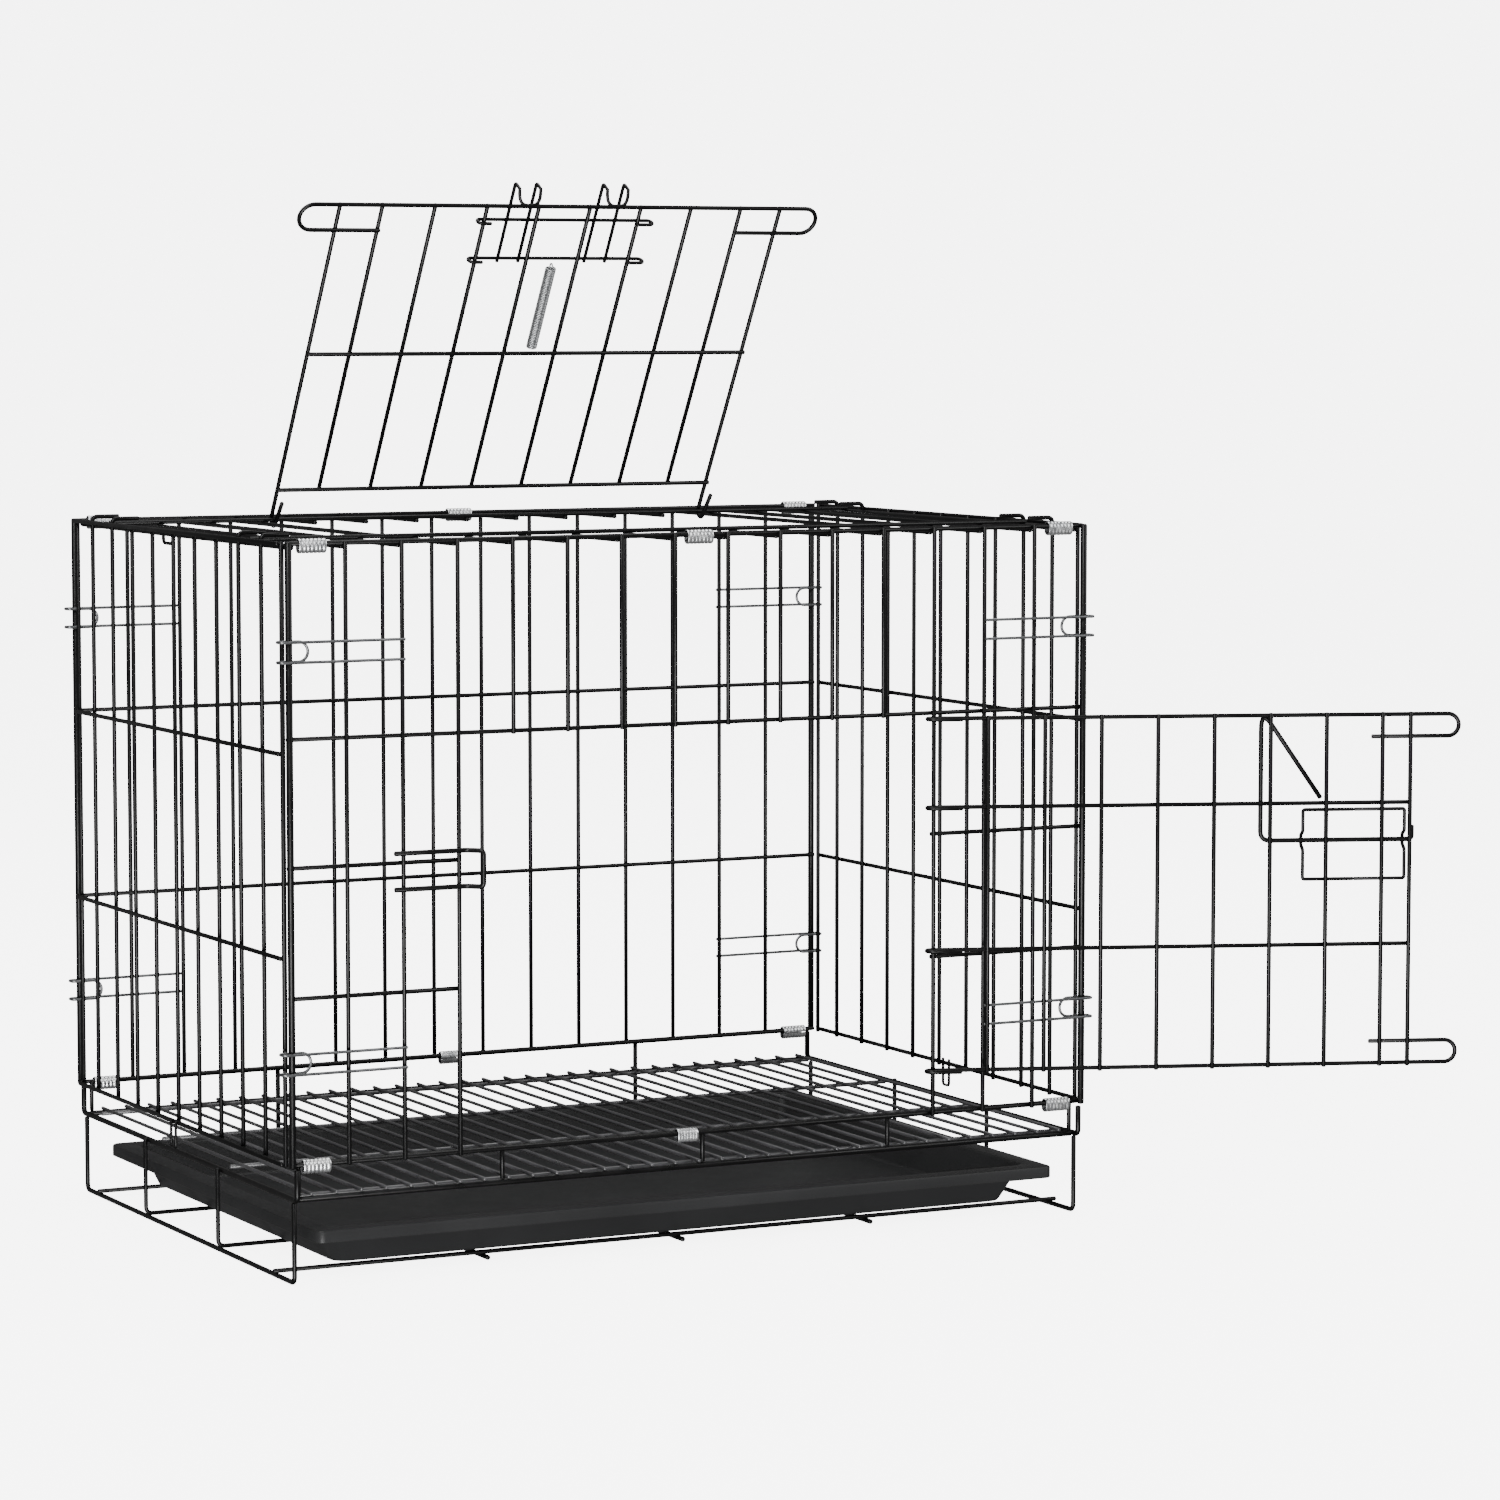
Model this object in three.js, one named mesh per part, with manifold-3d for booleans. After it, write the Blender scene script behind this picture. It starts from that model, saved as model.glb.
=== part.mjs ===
// Folding wire dog crate with a front door, a top door, swing-in side panels, a raised base,
// a floor grate and a slide-out tray. Millimetres, +Z up, front towards -Y, floor at z = 0.
import * as THREE from 'three';
import { mergeVertices } from 'three/addons/utils/BufferGeometryUtils.js';
import Module from 'manifold-3d';

const wasm = await Module();
wasm.setup();

// ---------- driving dimensions ----------
const WIDTH = 600;             // between the outermost uprights of the front and back panels
const DEPTH = 410;             // between the uprights' planes of the front and back panels
const PITCH = 40;              // spacing of the uprights
const COLUMNS = 16;            // uprights in the front and back panels
const DOOR_LEFT = 3;           // column at the left of the doorway
const DOOR_RIGHT = 12;         // column at the right of the doorway, which carries the front door

const MAIN = 1.6;              // wire radii
const EDGE = 2.0;
const CORNER = 2.4;
const FOOT = 1.75;
const THIN = 1.05;
const GRATE = 1.25;
const SLIDE = 1.3;

const ROOF = 488.4;            // cross wires of the top panel
const PANEL_TOP = 488.2;       // top rail of the front and back panels
const PANEL_BOTTOM = 80.2;     // bottom rail of every upright panel
const FRONT_RAILS = [360.6, 276.2, 190.2];
const SIDE_RAILS = [351.0, 216.5];
const SIDE_TOP = 488.2;        // top rail of a side panel
const SIDE_X = 301;            // uprights' plane of the side panels
const SIDE_SPAN = 195.1;       // half the distance between a side panel's end uprights
const SIDE_PITCH = 40.45;      // spacing of the uprights between them
const SIDE_MIDDLE = 2;         // the middle one's place along y
const SILL = 80.2;             // raised rails of the base, right behind the panels' bottom rails
const BASE = 57;               // main frame of the base
const BASE_X = 297.4;
const BASE_Y = 200;

const FRONT_DOOR_OPEN = 20.5;  // degrees between the open front door and the front panel
const FRONT_DOOR_RAILS = [356.5, 294.5, 194.5, 109.8];
const FRONT_DOOR_FIRST = 38.6; // hinge line to the first upright
const FRONT_DOOR_END = 338.6;  // hinge line to the last upright
const HINGE_BEND = 4.4;        // radius at which a door's wires wrap their hinge rod

const TOP_DOOR_OPEN = 59;      // degrees between the open top door and the roof
const TOP_HINGE_Y = 140.6;     // cross wire that the top door hangs on
const TOP_LATCH_Y = -130;      // cross wire that its latch hooks under
const TOP_DOOR_EDGE = 172;     // half the distance between the top door's edge wires
const TOP_DOOR_ROWS = [24.3, 138.3, 259.8]; // hinge line to its three cross wires

const TRAY_RIM = { x: 281, front: -200, back: 197 };
const TRAY_WALL = { x: 266, front: -185, back: 182 };
const TRAY_FLOOR = { x: 256.5, front: -171, back: 168 };
const TRAY_RIM_Z = 34.5;
const TRAY_LIP = 8.5;          // height of the lip that hangs from the tray's rim
const SHEET = 2;               // thickness of the tray's plastic

const GAP = 0.3;               // between neighbouring pieces
const HINGE_PLAY = 0.8;        // more room round the rails that the side panels hang on
const STUB = 2;                // how far a wire runs on past the last one it is welded to
const WELD = 0.15;             // how far welded wires sink into each other
const SQUARE = Math.sqrt(Math.PI) / 2; // half side of the square with a round wire's area, per radius

const half = (radius) => SQUARE * radius;
const welded = (a, b) => half(a) + half(b) - WELD;
const beside = (a, b) => half(a) + half(b) + GAP;
const columnX = (k) => -WIDTH / 2 + k * PITCH;
const v = (x, y, z) => new THREE.Vector3(x, y, z);

// heights worked out from the stack of wires that stands on the floor
const FLOOR_WIRE = half(FOOT);
const FLOOR_CROSS = FLOOR_WIRE + beside(FOOT, MAIN);
const TRAY_BOTTOM = FLOOR_CROSS + half(MAIN) + GAP;
const ROOF_LENGTHWISE = ROOF - welded(MAIN, MAIN);
const PANEL_RAIL_Y = DEPTH / 2 - welded(MAIN, MAIN);
const PAIRED_Y = PANEL_RAIL_Y - beside(MAIN, MAIN); // wires of the roof and base beside the panels' rails
const SIDE_HINGE_X = WIDTH / 2 - beside(MAIN, EDGE) - HINGE_PLAY;

// ---------- materials ----------
const BLACK_WIRE = new THREE.MeshStandardMaterial({ color: 0x111113, roughness: 0.42, metalness: 0.35 });
const GREY_WIRE = new THREE.MeshStandardMaterial({ color: 0x55585b, roughness: 0.4, metalness: 0.8 });
const BRIGHT_STEEL = new THREE.MeshStandardMaterial({ color: 0xc4c6c8, roughness: 0.3, metalness: 0.9 });
const BLACK_PLASTIC = new THREE.MeshStandardMaterial({ color: 0x18191b, roughness: 0.35, metalness: 0 });

// ---------- wires ----------
// A wire's centre line: straight runs between its points, one section at each point.
class WireLine extends THREE.Curve {
  constructor(points) {
    super();
    this.points = points;
  }

  getPoint(t, target = new THREE.Vector3()) {
    const place = t * (this.points.length - 1);
    const i = Math.min(Math.floor(place + 1e-6), this.points.length - 2);
    return target.lerpVectors(this.points[i], this.points[i + 1], place - i);
  }

  getPointAt(u, target) {
    return this.getPoint(u, target);
  }

  getTangentAt(u, target = new THREE.Vector3()) {
    const i = Math.round(u * (this.points.length - 1));
    const before = this.points[Math.max(i - 1, 0)];
    const here = this.points[i];
    const after = this.points[Math.min(i + 1, this.points.length - 1)];
    const inward = here.clone().sub(before).normalize();
    const outward = after.clone().sub(here).normalize();
    return target.copy(inward).add(outward).normalize();
  }
}

// Replaces each inner corner of a centre line by a bend that starts `trim` before the corner.
function bent(corners, trim, steps = 3) {
  const points = [corners[0]];
  for (let i = 1; i < corners.length - 1; i += 1) {
    const corner = corners[i];
    const from = corners[i - 1].clone().sub(corner).normalize().multiplyScalar(trim).add(corner);
    const to = corners[i + 1].clone().sub(corner).normalize().multiplyScalar(trim).add(corner);
    const bend = new THREE.QuadraticBezierCurve3(from, corner, to);
    points.push(...bend.getPoints(steps));
  }
  points.push(corners[corners.length - 1]);
  return points;
}

function wire(radius, points) {
  const h = half(radius);
  const section = new THREE.Shape();
  section.moveTo(-h, -h);
  section.lineTo(h, -h);
  section.lineTo(h, h);
  section.lineTo(-h, h);
  const line = new WireLine(points);
  return new THREE.ExtrudeGeometry(section, { steps: points.length - 1, extrudePath: line });
}

const straight = (radius, from, to) => wire(radius, [from, to]);

// ---------- solids ----------
function solid(geometry) {
  const shell = geometry.clone();
  shell.deleteAttribute('normal');
  shell.deleteAttribute('uv');
  const merged = mergeVertices(shell, 1e-4);
  return new wasm.Manifold(new wasm.Mesh({
    numProp: 3,
    vertProperties: new Float32Array(merged.attributes.position.array),
    triVerts: new Uint32Array(merged.index.array),
  }));
}

function toGeometry(body) {
  const mesh = body.getMesh();
  const geometry = new THREE.BufferGeometry();
  geometry.setAttribute('position', new THREE.BufferAttribute(mesh.vertProperties, 3));
  geometry.setIndex(new THREE.BufferAttribute(mesh.triVerts, 1));
  return geometry;
}

function joined(geometries) {
  let body = solid(geometries[0]);
  for (const geometry of geometries.slice(1)) {
    body = body.add(solid(geometry));
  }
  return toGeometry(body);
}

const crate = new THREE.Group();

function piece(name, geometry, material, parent = crate) {
  const mesh = new THREE.Mesh(geometry, material);
  mesh.name = name;
  parent.add(mesh);
  return mesh;
}

// ---------- front and back panels ----------
// side is -1 for the front and +1 for the back; the rails lie on the inner face of the uprights.
function upright(side, k, low, high) {
  const radius = k === 0 || k === COLUMNS - 1 ? CORNER : MAIN;
  const y = side * DEPTH / 2;
  return straight(radius, v(columnX(k), y, low), v(columnX(k), y, high));
}

function panelRail(side, z, fromColumn, toColumn) {
  const y = side * PANEL_RAIL_Y;
  const past = half(MAIN);
  return straight(MAIN, v(columnX(fromColumn) - past, y, z), v(columnX(toColumn) + past, y, z));
}

const UPRIGHT_LOW = PANEL_BOTTOM - STUB;
const UPRIGHT_HIGH = PANEL_TOP + half(MAIN);

function frontPanel() {
  const last = COLUMNS - 1;
  const wires = [];
  for (let k = 0; k < COLUMNS; k += 1) {
    const overDoorway = k > DOOR_LEFT && k < DOOR_RIGHT;
    wires.push(upright(-1, k, overDoorway ? FRONT_RAILS[0] - STUB : UPRIGHT_LOW, UPRIGHT_HIGH));
  }
  for (const z of [PANEL_TOP, FRONT_RAILS[0], PANEL_BOTTOM]) {
    wires.push(panelRail(-1, z, 0, last));
  }
  for (const z of FRONT_RAILS.slice(1)) {
    wires.push(panelRail(-1, z, 0, DOOR_LEFT));
    wires.push(panelRail(-1, z, DOOR_RIGHT, last));
  }
  return joined(wires);
}

function backPanel() {
  const wires = [];
  for (let k = 0; k < COLUMNS; k += 1) {
    wires.push(upright(1, k, UPRIGHT_LOW, UPRIGHT_HIGH));
  }
  for (const z of [PANEL_TOP, ...SIDE_RAILS, PANEL_BOTTOM]) {
    wires.push(panelRail(1, z, 0, COLUMNS - 1));
  }
  return joined(wires);
}

piece('front_panel', frontPanel(), BLACK_WIRE);
piece('back_panel', backPanel(), BLACK_WIRE);

// ---------- top panel ----------
// Cross wires lie over the lengthwise ones. The panel is drawn in four parts round the doorway:
// a full-length strip at either side, and a short strip in front of the doorway and behind it.
// A small U-shaped keeper hangs under each side rail.
const KEEPER = { from: 17, to: 35, z: 479 };
const LENGTHWISE_END = PAIRED_Y + 0.8;
const STRIP_EDGE = -columnX(DOOR_LEFT) - half(MAIN);

function lengthwise(x, from, to) {
  return straight(MAIN, v(x, from, ROOF_LENGTHWISE), v(x, to, ROOF_LENGTHWISE));
}

function topSideStrip(side) {
  const railX = side * SIDE_HINGE_X;
  const rail = [v(railX, -LENGTHWISE_END, ROOF_LENGTHWISE), v(railX, LENGTHWISE_END, ROOF_LENGTHWISE)];
  const wires = [wire(EDGE, rail)];
  for (let k = 1; k <= DOOR_LEFT; k += 1) {
    wires.push(lengthwise(-side * columnX(k), -LENGTHWISE_END, LENGTHWISE_END));
  }
  const outer = side * (SIDE_HINGE_X + half(EDGE) - 0.2);
  for (const y of [-PAIRED_Y, TOP_LATCH_Y, TOP_HINGE_Y, PAIRED_Y]) {
    wires.push(straight(MAIN, v(outer, y, ROOF), v(side * STRIP_EDGE, y, ROOF)));
  }
  const keeper = [
    v(railX, KEEPER.from, ROOF_LENGTHWISE),
    v(railX, KEEPER.from, KEEPER.z),
    v(railX, KEEPER.to, KEEPER.z),
    v(railX, KEEPER.to, ROOF_LENGTHWISE),
  ];
  wires.push(wire(GRATE, bent(keeper, 4)));
  return joined(wires);
}

function topEndStrip(side, doorwayWire) {
  const wires = [];
  const end = STRIP_EDGE - GAP;
  for (const y of [doorwayWire, side * PAIRED_Y]) {
    wires.push(straight(MAIN, v(-end, y, ROOF), v(end, y, ROOF)));
  }
  for (let k = DOOR_LEFT + 1; k < DOOR_RIGHT; k += 1) {
    wires.push(lengthwise(columnX(k), doorwayWire - side * STUB, side * LENGTHWISE_END));
  }
  return joined(wires);
}

piece('top_panel_left', topSideStrip(-1), BLACK_WIRE);
piece('top_panel_right', topSideStrip(1), BLACK_WIRE);
piece('top_panel_front', topEndStrip(-1, TOP_LATCH_Y), BLACK_WIRE);
piece('top_panel_back', topEndStrip(1, TOP_HINGE_Y), BLACK_WIRE);

// ---------- side panels ----------
// Four uprights bend over the top panel's side rail and carry the panel, which swings inwards.
const SIDE_INNER = 4;          // uprights on either side of the middle one, without the end ones
const HOOKED = [-4, -3, 3, 4];
const HOOK_REACH = 20;
const HOOK_Z = 492.3;
const SIDE_RAIL_X = SIDE_X + welded(MAIN, MAIN);
const TONGUE = { halfWidth: 4.5, top: 83, bottom: 63 };

function sidePanel(side) {
  const x = side * SIDE_X;
  const railX = side * SIDE_RAIL_X;
  const wires = [];
  for (const y of [-SIDE_SPAN, SIDE_SPAN]) {
    wires.push(straight(MAIN, v(x, y, UPRIGHT_LOW), v(x, y, SIDE_TOP + half(MAIN))));
  }
  for (let i = -SIDE_INNER; i <= SIDE_INNER; i += 1) {
    const y = SIDE_MIDDLE + i * SIDE_PITCH;
    if (HOOKED.includes(i)) {
      const corners = [v(x, y, UPRIGHT_LOW), v(x, y, HOOK_Z), v(x - side * HOOK_REACH, y, HOOK_Z)];
      wires.push(wire(MAIN, bent(corners, 4)));
    } else {
      wires.push(straight(MAIN, v(x, y, UPRIGHT_LOW), v(x, y, SIDE_TOP + half(MAIN))));
    }
  }
  const end = SIDE_SPAN + half(MAIN);
  for (const z of [SIDE_TOP, ...SIDE_RAILS, PANEL_BOTTOM]) {
    wires.push(straight(MAIN, v(railX, -end, z), v(railX, end, z)));
  }
  const tongueX = railX + side * welded(MAIN, THIN);
  const tongue = [
    v(tongueX, -TONGUE.halfWidth, TONGUE.top),
    v(tongueX, -TONGUE.halfWidth, TONGUE.bottom),
    v(tongueX, TONGUE.halfWidth, TONGUE.bottom),
    v(tongueX, TONGUE.halfWidth, TONGUE.top),
  ];
  wires.push(wire(THIN, bent(tongue, 2.5)));
  return joined(wires);
}

piece('left_panel', sidePanel(-1), BLACK_WIRE);
piece('right_panel', sidePanel(1), BLACK_WIRE);

// ---------- corner clips ----------
// One thin wire lies twice across the last three uprights, passes round the corner upright and
// closes behind it in a round end.
const CLIP_HEIGHTS = { upper: 417.8, lower: 147.5 };
const CLIP = { half: 6.6, from: 219, outside: 307, endCentre: 291.5, behind: 200.6 };

function cornerClip(across, along, z) {
  const face = along * (DEPTH / 2 + beside(CORNER, THIN));
  const behind = along * CLIP.behind;
  const arm = (dz) => bent([
    v(across * CLIP.from, face, z + dz),
    v(across * CLIP.outside, face, z + dz),
    v(across * CLIP.outside, behind, z + dz),
    v(across * CLIP.endCentre, behind, z + dz),
  ], 2.5, 2);
  const roundEnd = [];
  for (let i = 1; i <= 5; i += 1) {
    const a = Math.PI / 2 - i * Math.PI / 6;
    const x = across * (CLIP.endCentre - CLIP.half * Math.cos(a));
    roundEnd.push(v(x, behind, z + CLIP.half * Math.sin(a)));
  }
  return joined([wire(THIN, [...arm(CLIP.half), ...roundEnd, ...arm(-CLIP.half).reverse()])]);
}

for (const [end, along] of [['front', -1], ['back', 1]]) {
  for (const [hand, across] of [['left', -1], ['right', 1]]) {
    for (const level of ['upper', 'lower']) {
      const shape = cornerClip(across, along, CLIP_HEIGHTS[level]);
      piece(`corner_clip_${end}_${hand}_${level}`, shape, GREY_WIRE);
    }
  }
}

// ---------- hinge sleeves ----------
// Each sleeve is a strip rolled loosely round two rails that lie side by side, and hangs on them.
const SLEEVE = {
  halfDepth: (PANEL_RAIL_Y - PAIRED_Y) / 2 + half(MAIN) + 0.8,
  halfHeight: 4.9,
  wall: 0.6,
  drop: 1.5,
  long: 19,
  short: 15,
};

function sleeve(x, length, y, z) {
  const box = (depth, height, wide) => new THREE.BoxGeometry(wide, 2 * depth, 2 * height);
  const outer = solid(box(SLEEVE.halfDepth, SLEEVE.halfHeight, length));
  const bore = solid(box(SLEEVE.halfDepth - SLEEVE.wall, SLEEVE.halfHeight - SLEEVE.wall, length + 1));
  return toGeometry(outer.subtract(bore).translate([x, y, z - SLEEVE.drop]));
}

const SLEEVE_LINES = {
  top: { z: PANEL_TOP, left: -282, centre: 0, right: 282, centreLength: SLEEVE.long },
  bottom: { z: PANEL_BOTTOM, left: -282, centre: -10, right: 282, centreLength: SLEEVE.short },
};
for (const [end, along] of [['front', -1], ['back', 1]]) {
  for (const [level, line] of Object.entries(SLEEVE_LINES)) {
    for (const place of ['left', 'centre', 'right']) {
      const length = place === 'centre' ? line.centreLength : SLEEVE.long;
      const y = along * (PANEL_RAIL_Y + PAIRED_Y) / 2;
      const shape = sleeve(line[place], length, y, line.z);
      piece(`hinge_sleeve_${end}_${level}_${place}`, shape, BRIGHT_STEEL);
    }
  }
}

// ---------- latch catch on the front panel ----------
// A U-shaped wire whose closed end stands out from the panel, so that the bolt runs behind it.
const BOLT_Z = 268;
const CATCH = { low: 259, high: 283, from: -228, step: -176, tip: -167.5, standOff: 12 };

function latchCatch() {
  const onPanel = -DEPTH / 2 - beside(MAIN, FOOT);
  const out = -DEPTH / 2 - CATCH.standOff;
  const corners = [
    v(CATCH.from, onPanel, CATCH.high),
    v(CATCH.step, onPanel, CATCH.high),
    v(CATCH.tip, out, CATCH.high),
    v(CATCH.tip, out, CATCH.low),
    v(CATCH.step, onPanel, CATCH.low),
    v(CATCH.from, onPanel, CATCH.low),
  ];
  return joined([wire(FOOT, bent(corners, 3, 2))]);
}

piece('latch_catch', latchCatch(), BLACK_WIRE);

// ---------- front door ----------
// Drawn in its own group: +X from the hinge to the free end, +Y towards its outer face.
const frontDoor = new THREE.Group();
frontDoor.position.set(columnX(DOOR_RIGHT), -DEPTH / 2, 0);
frontDoor.rotation.z = -THREE.MathUtils.degToRad(FRONT_DOOR_OPEN);
crate.add(frontDoor);

const HINGE_TAIL = 20;
const LOOP_RADIUS = 7.75;
const LOOP_CENTRE = 366;       // hinge line to the centre of a loop's round end
const LOOP_BACK = 311;         // hinge line to the end of a loop's return wire
const DOOR_UPRIGHT_Y = HINGE_BEND - welded(MAIN, MAIN);

// The stretch of a door rail that wraps the hinge upright, from the rail round to its tail.
function hingeWrap(z) {
  const points = [];
  for (let i = 0; i <= 6; i += 1) {
    const a = Math.PI / 2 + i * Math.PI / 6;
    points.push(v(HINGE_BEND * Math.cos(a), HINGE_BEND * Math.sin(a), z));
  }
  points.push(v(HINGE_TAIL, -HINGE_BEND, z));
  return points;
}

// A rail that ends in a round loop, which turns towards +Z or -Z and runs back inside the door.
function loopEnd(z, turn) {
  const points = [v(LOOP_BACK, HINGE_BEND, z + turn * 2 * LOOP_RADIUS)];
  for (let i = 0; i <= 6; i += 1) {
    const a = Math.PI / 2 - i * Math.PI / 6;
    const x = LOOP_CENTRE + LOOP_RADIUS * Math.cos(a);
    points.push(v(x, HINGE_BEND, z + turn * LOOP_RADIUS * (1 + Math.sin(a))));
  }
  return points;
}

function frontDoorGrille() {
  const [top, upper, lower, bottom] = FRONT_DOOR_RAILS;
  const wires = [
    wire(MAIN, [...loopEnd(top, -1), ...hingeWrap(top)]),
    wire(MAIN, [...loopEnd(bottom, 1), ...hingeWrap(bottom)]),
  ];
  for (const z of [upper, lower]) {
    wires.push(wire(MAIN, [v(FRONT_DOOR_END + 1.5, HINGE_BEND, z), ...hingeWrap(z)]));
  }
  for (let i = 0; i < 8; i += 1) {
    const x = FRONT_DOOR_FIRST + i * PITCH;
    wires.push(straight(MAIN, v(x, DOOR_UPRIGHT_Y, bottom - 2), v(x, DOOR_UPRIGHT_Y, top + 2)));
  }
  const end = v(FRONT_DOOR_END, DOOR_UPRIGHT_Y, bottom - 2);
  wires.push(straight(MAIN, end, v(FRONT_DOOR_END, DOOR_UPRIGHT_Y, top + 2)));
  return joined(wires);
}

piece('front_door', frontDoorGrille(), BLACK_WIRE, frontDoor);

// ---------- bolt and its guide ----------
const BOLT_Y = HINGE_BEND + half(MAIN) + half(FOOT) + 0.4;
const GUIDE_Y = DOOR_UPRIGHT_Y + beside(MAIN, SLIDE);
const GUIDE = { from: 262.7, to: 335.5, low: 240.8, high: 289.8 };

function boltGuide() {
  const out = BOLT_Y + half(FOOT) + half(SLIDE) + 0.4;
  const kink = half(FOOT) + half(SLIDE) + 0.8;
  const shortSide = (x) => [
    v(x, GUIDE_Y, GUIDE.low),
    v(x, GUIDE_Y, BOLT_Z - kink - 3),
    v(x, out, BOLT_Z - kink),
    v(x, out, BOLT_Z + kink),
    v(x, GUIDE_Y, BOLT_Z + kink + 3),
    v(x, GUIDE_Y, GUIDE.high),
  ];
  const split = (GUIDE.from + GUIDE.to) / 2;
  const halves = [GUIDE.from, GUIDE.to].map((x) => {
    const corners = [v(split, GUIDE_Y, GUIDE.low), ...shortSide(x), v(split, GUIDE_Y, GUIDE.high)];
    return wire(SLIDE, bent(corners, 1.6, 2));
  });
  return joined(halves);
}

function latchBolt() {
  const start = v(276, BOLT_Y, 297.5);
  const handleTop = v(233, BOLT_Y, 360.6);
  const handleBottom = v(233, BOLT_Y, BOLT_Z);
  const tip = v(341.5, BOLT_Y, BOLT_Z);
  const tipEnd = v(341.5, BOLT_Y, BOLT_Z + 10);
  const points = [
    start,
    ...bent([start, handleTop, handleBottom], 13.9, 4).slice(1, -1),
    ...bent([handleTop, handleBottom, tip], 7).slice(1, -1),
    ...bent([handleBottom, tip, tipEnd], 3, 2).slice(1),
  ];
  return joined([wire(FOOT, points)]);
}

piece('bolt_guide', boltGuide(), BLACK_WIRE, frontDoor);
piece('latch_bolt', latchBolt(), BLACK_WIRE, frontDoor);

// ---------- top door ----------
// Drawn in its own group as it lies when closed: -Y from the hinge to the free edge, +Z outwards.
const topDoor = new THREE.Group();
topDoor.position.set(0, TOP_HINGE_Y, ROOF);
topDoor.rotation.x = -THREE.MathUtils.degToRad(TOP_DOOR_OPEN);
crate.add(topDoor);

const TOP_RAIL_Z = HINGE_BEND - welded(MAIN, MAIN);
const TOP_LOOP = { radius: 10.2, centre: 191.5, back: 139 };
const TOP_TAIL = { row: 20, z: -8 };
const TOP_COLUMNS = [-140, -100, -60, -20, 20, 60, 100, 140];

function topDoorGrille() {
  const [low, middle, free] = TOP_DOOR_ROWS;
  const wires = [];
  for (const row of [low, middle]) {
    const end = TOP_DOOR_EDGE + half(MAIN);
    wires.push(straight(MAIN, v(-end, -row, TOP_RAIL_Z), v(end, -row, TOP_RAIL_Z)));
  }
  const rim = [];
  for (const side of [-1, 1]) {
    const loop = [v(side * TOP_LOOP.back, -free + 2 * TOP_LOOP.radius, TOP_RAIL_Z)];
    for (let i = 0; i <= 6; i += 1) {
      const a = Math.PI / 2 - i * Math.PI / 6;
      const x = side * (TOP_LOOP.centre + TOP_LOOP.radius * Math.cos(a));
      loop.push(v(x, -free + TOP_LOOP.radius * (1 + Math.sin(a)), TOP_RAIL_Z));
    }
    rim.push(...(side < 0 ? loop : loop.reverse()));
  }
  wires.push(wire(MAIN, rim));
  for (const x of TOP_COLUMNS) {
    wires.push(straight(MAIN, v(x, -low + STUB, HINGE_BEND), v(x, -free, HINGE_BEND)));
  }
  for (const side of [-1, 1]) {
    const x = side * TOP_DOOR_EDGE;
    const points = [v(x, -free, HINGE_BEND)];
    for (let i = 0; i <= 6; i += 1) {
      const a = Math.PI / 2 - i * Math.PI / 6;
      points.push(v(x, HINGE_BEND * Math.cos(a), HINGE_BEND * Math.sin(a)));
    }
    points.push(v(x, -TOP_TAIL.row, TOP_TAIL.z));
    wires.push(wire(MAIN, points));
  }
  return joined(wires);
}

piece('top_door', topDoorGrille(), BLACK_WIRE, topDoor);

// ---------- top latch ----------
// Two cross bars, each curled under a wire of the door at either end, carry two hooks. A hook is
// one wire folded over at its free end, with a mouth that flares. A coil spring pulls the bars
// towards the hinge, and the hooks then reach round the roof's latch wire.
const BARS = { rows: [214.2, 245.7], z: HINGE_BEND + beside(MAIN, SLIDE) + 0.1, curl: 3 };
const BAR_ENDS = [{ centre: -62, back: -55 }, { centre: 68.7, back: 58 }];
const PRONGS = { inner: 26, outer: 42.3, fold: 277, foldZ: -3, mouth: 266, mouthZ: -8 };

function latchBar(row) {
  const points = [];
  for (const [end, side] of [[BAR_ENDS[0], -1], [BAR_ENDS[1], 1]]) {
    const curl = [v(end.back, -row, BARS.z - 2 * BARS.curl)];
    for (let i = 0; i <= 4; i += 1) {
      const a = -Math.PI / 2 + i * Math.PI / 4;
      const x = end.centre + side * BARS.curl * Math.cos(a);
      curl.push(v(x, -row, BARS.z + BARS.curl * (Math.sin(a) - 1)));
    }
    points.push(...(side < 0 ? curl : curl.reverse()));
  }
  return wire(SLIDE, points);
}

function latchHook(side) {
  const prongZ = BARS.z - welded(SLIDE, SLIDE);
  const corners = [];
  for (const x of [PRONGS.outer, PRONGS.inner]) {
    const prong = [
      v(side * x, -BARS.rows[0] + STUB, prongZ),
      v(side * x, -PRONGS.fold, prongZ),
      v(side * x, -PRONGS.fold, PRONGS.foldZ),
      v(side * x, -PRONGS.mouth, PRONGS.mouthZ),
    ];
    corners.push(...(x === PRONGS.outer ? prong : prong.reverse()));
  }
  return wire(SLIDE, bent(corners, 3.2, 2));
}

const SPRING = { x: 1, radius: 4, from: TOP_DOOR_ROWS[1] + STUB, to: BARS.rows[0] - STUB, z: 4.6 };

function springBody() {
  const geometry = new THREE.CylinderGeometry(SPRING.radius, SPRING.radius, SPRING.to - SPRING.from, 8);
  geometry.translate(SPRING.x, -(SPRING.from + SPRING.to) / 2, SPRING.z);
  return geometry;
}

const latchWires = [...BARS.rows.map(latchBar), latchHook(-1), latchHook(1)];
piece('top_latch_slide', joined(latchWires), BLACK_WIRE, topDoor);
piece('latch_spring', springBody(), BRIGHT_STEEL, topDoor);

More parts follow.
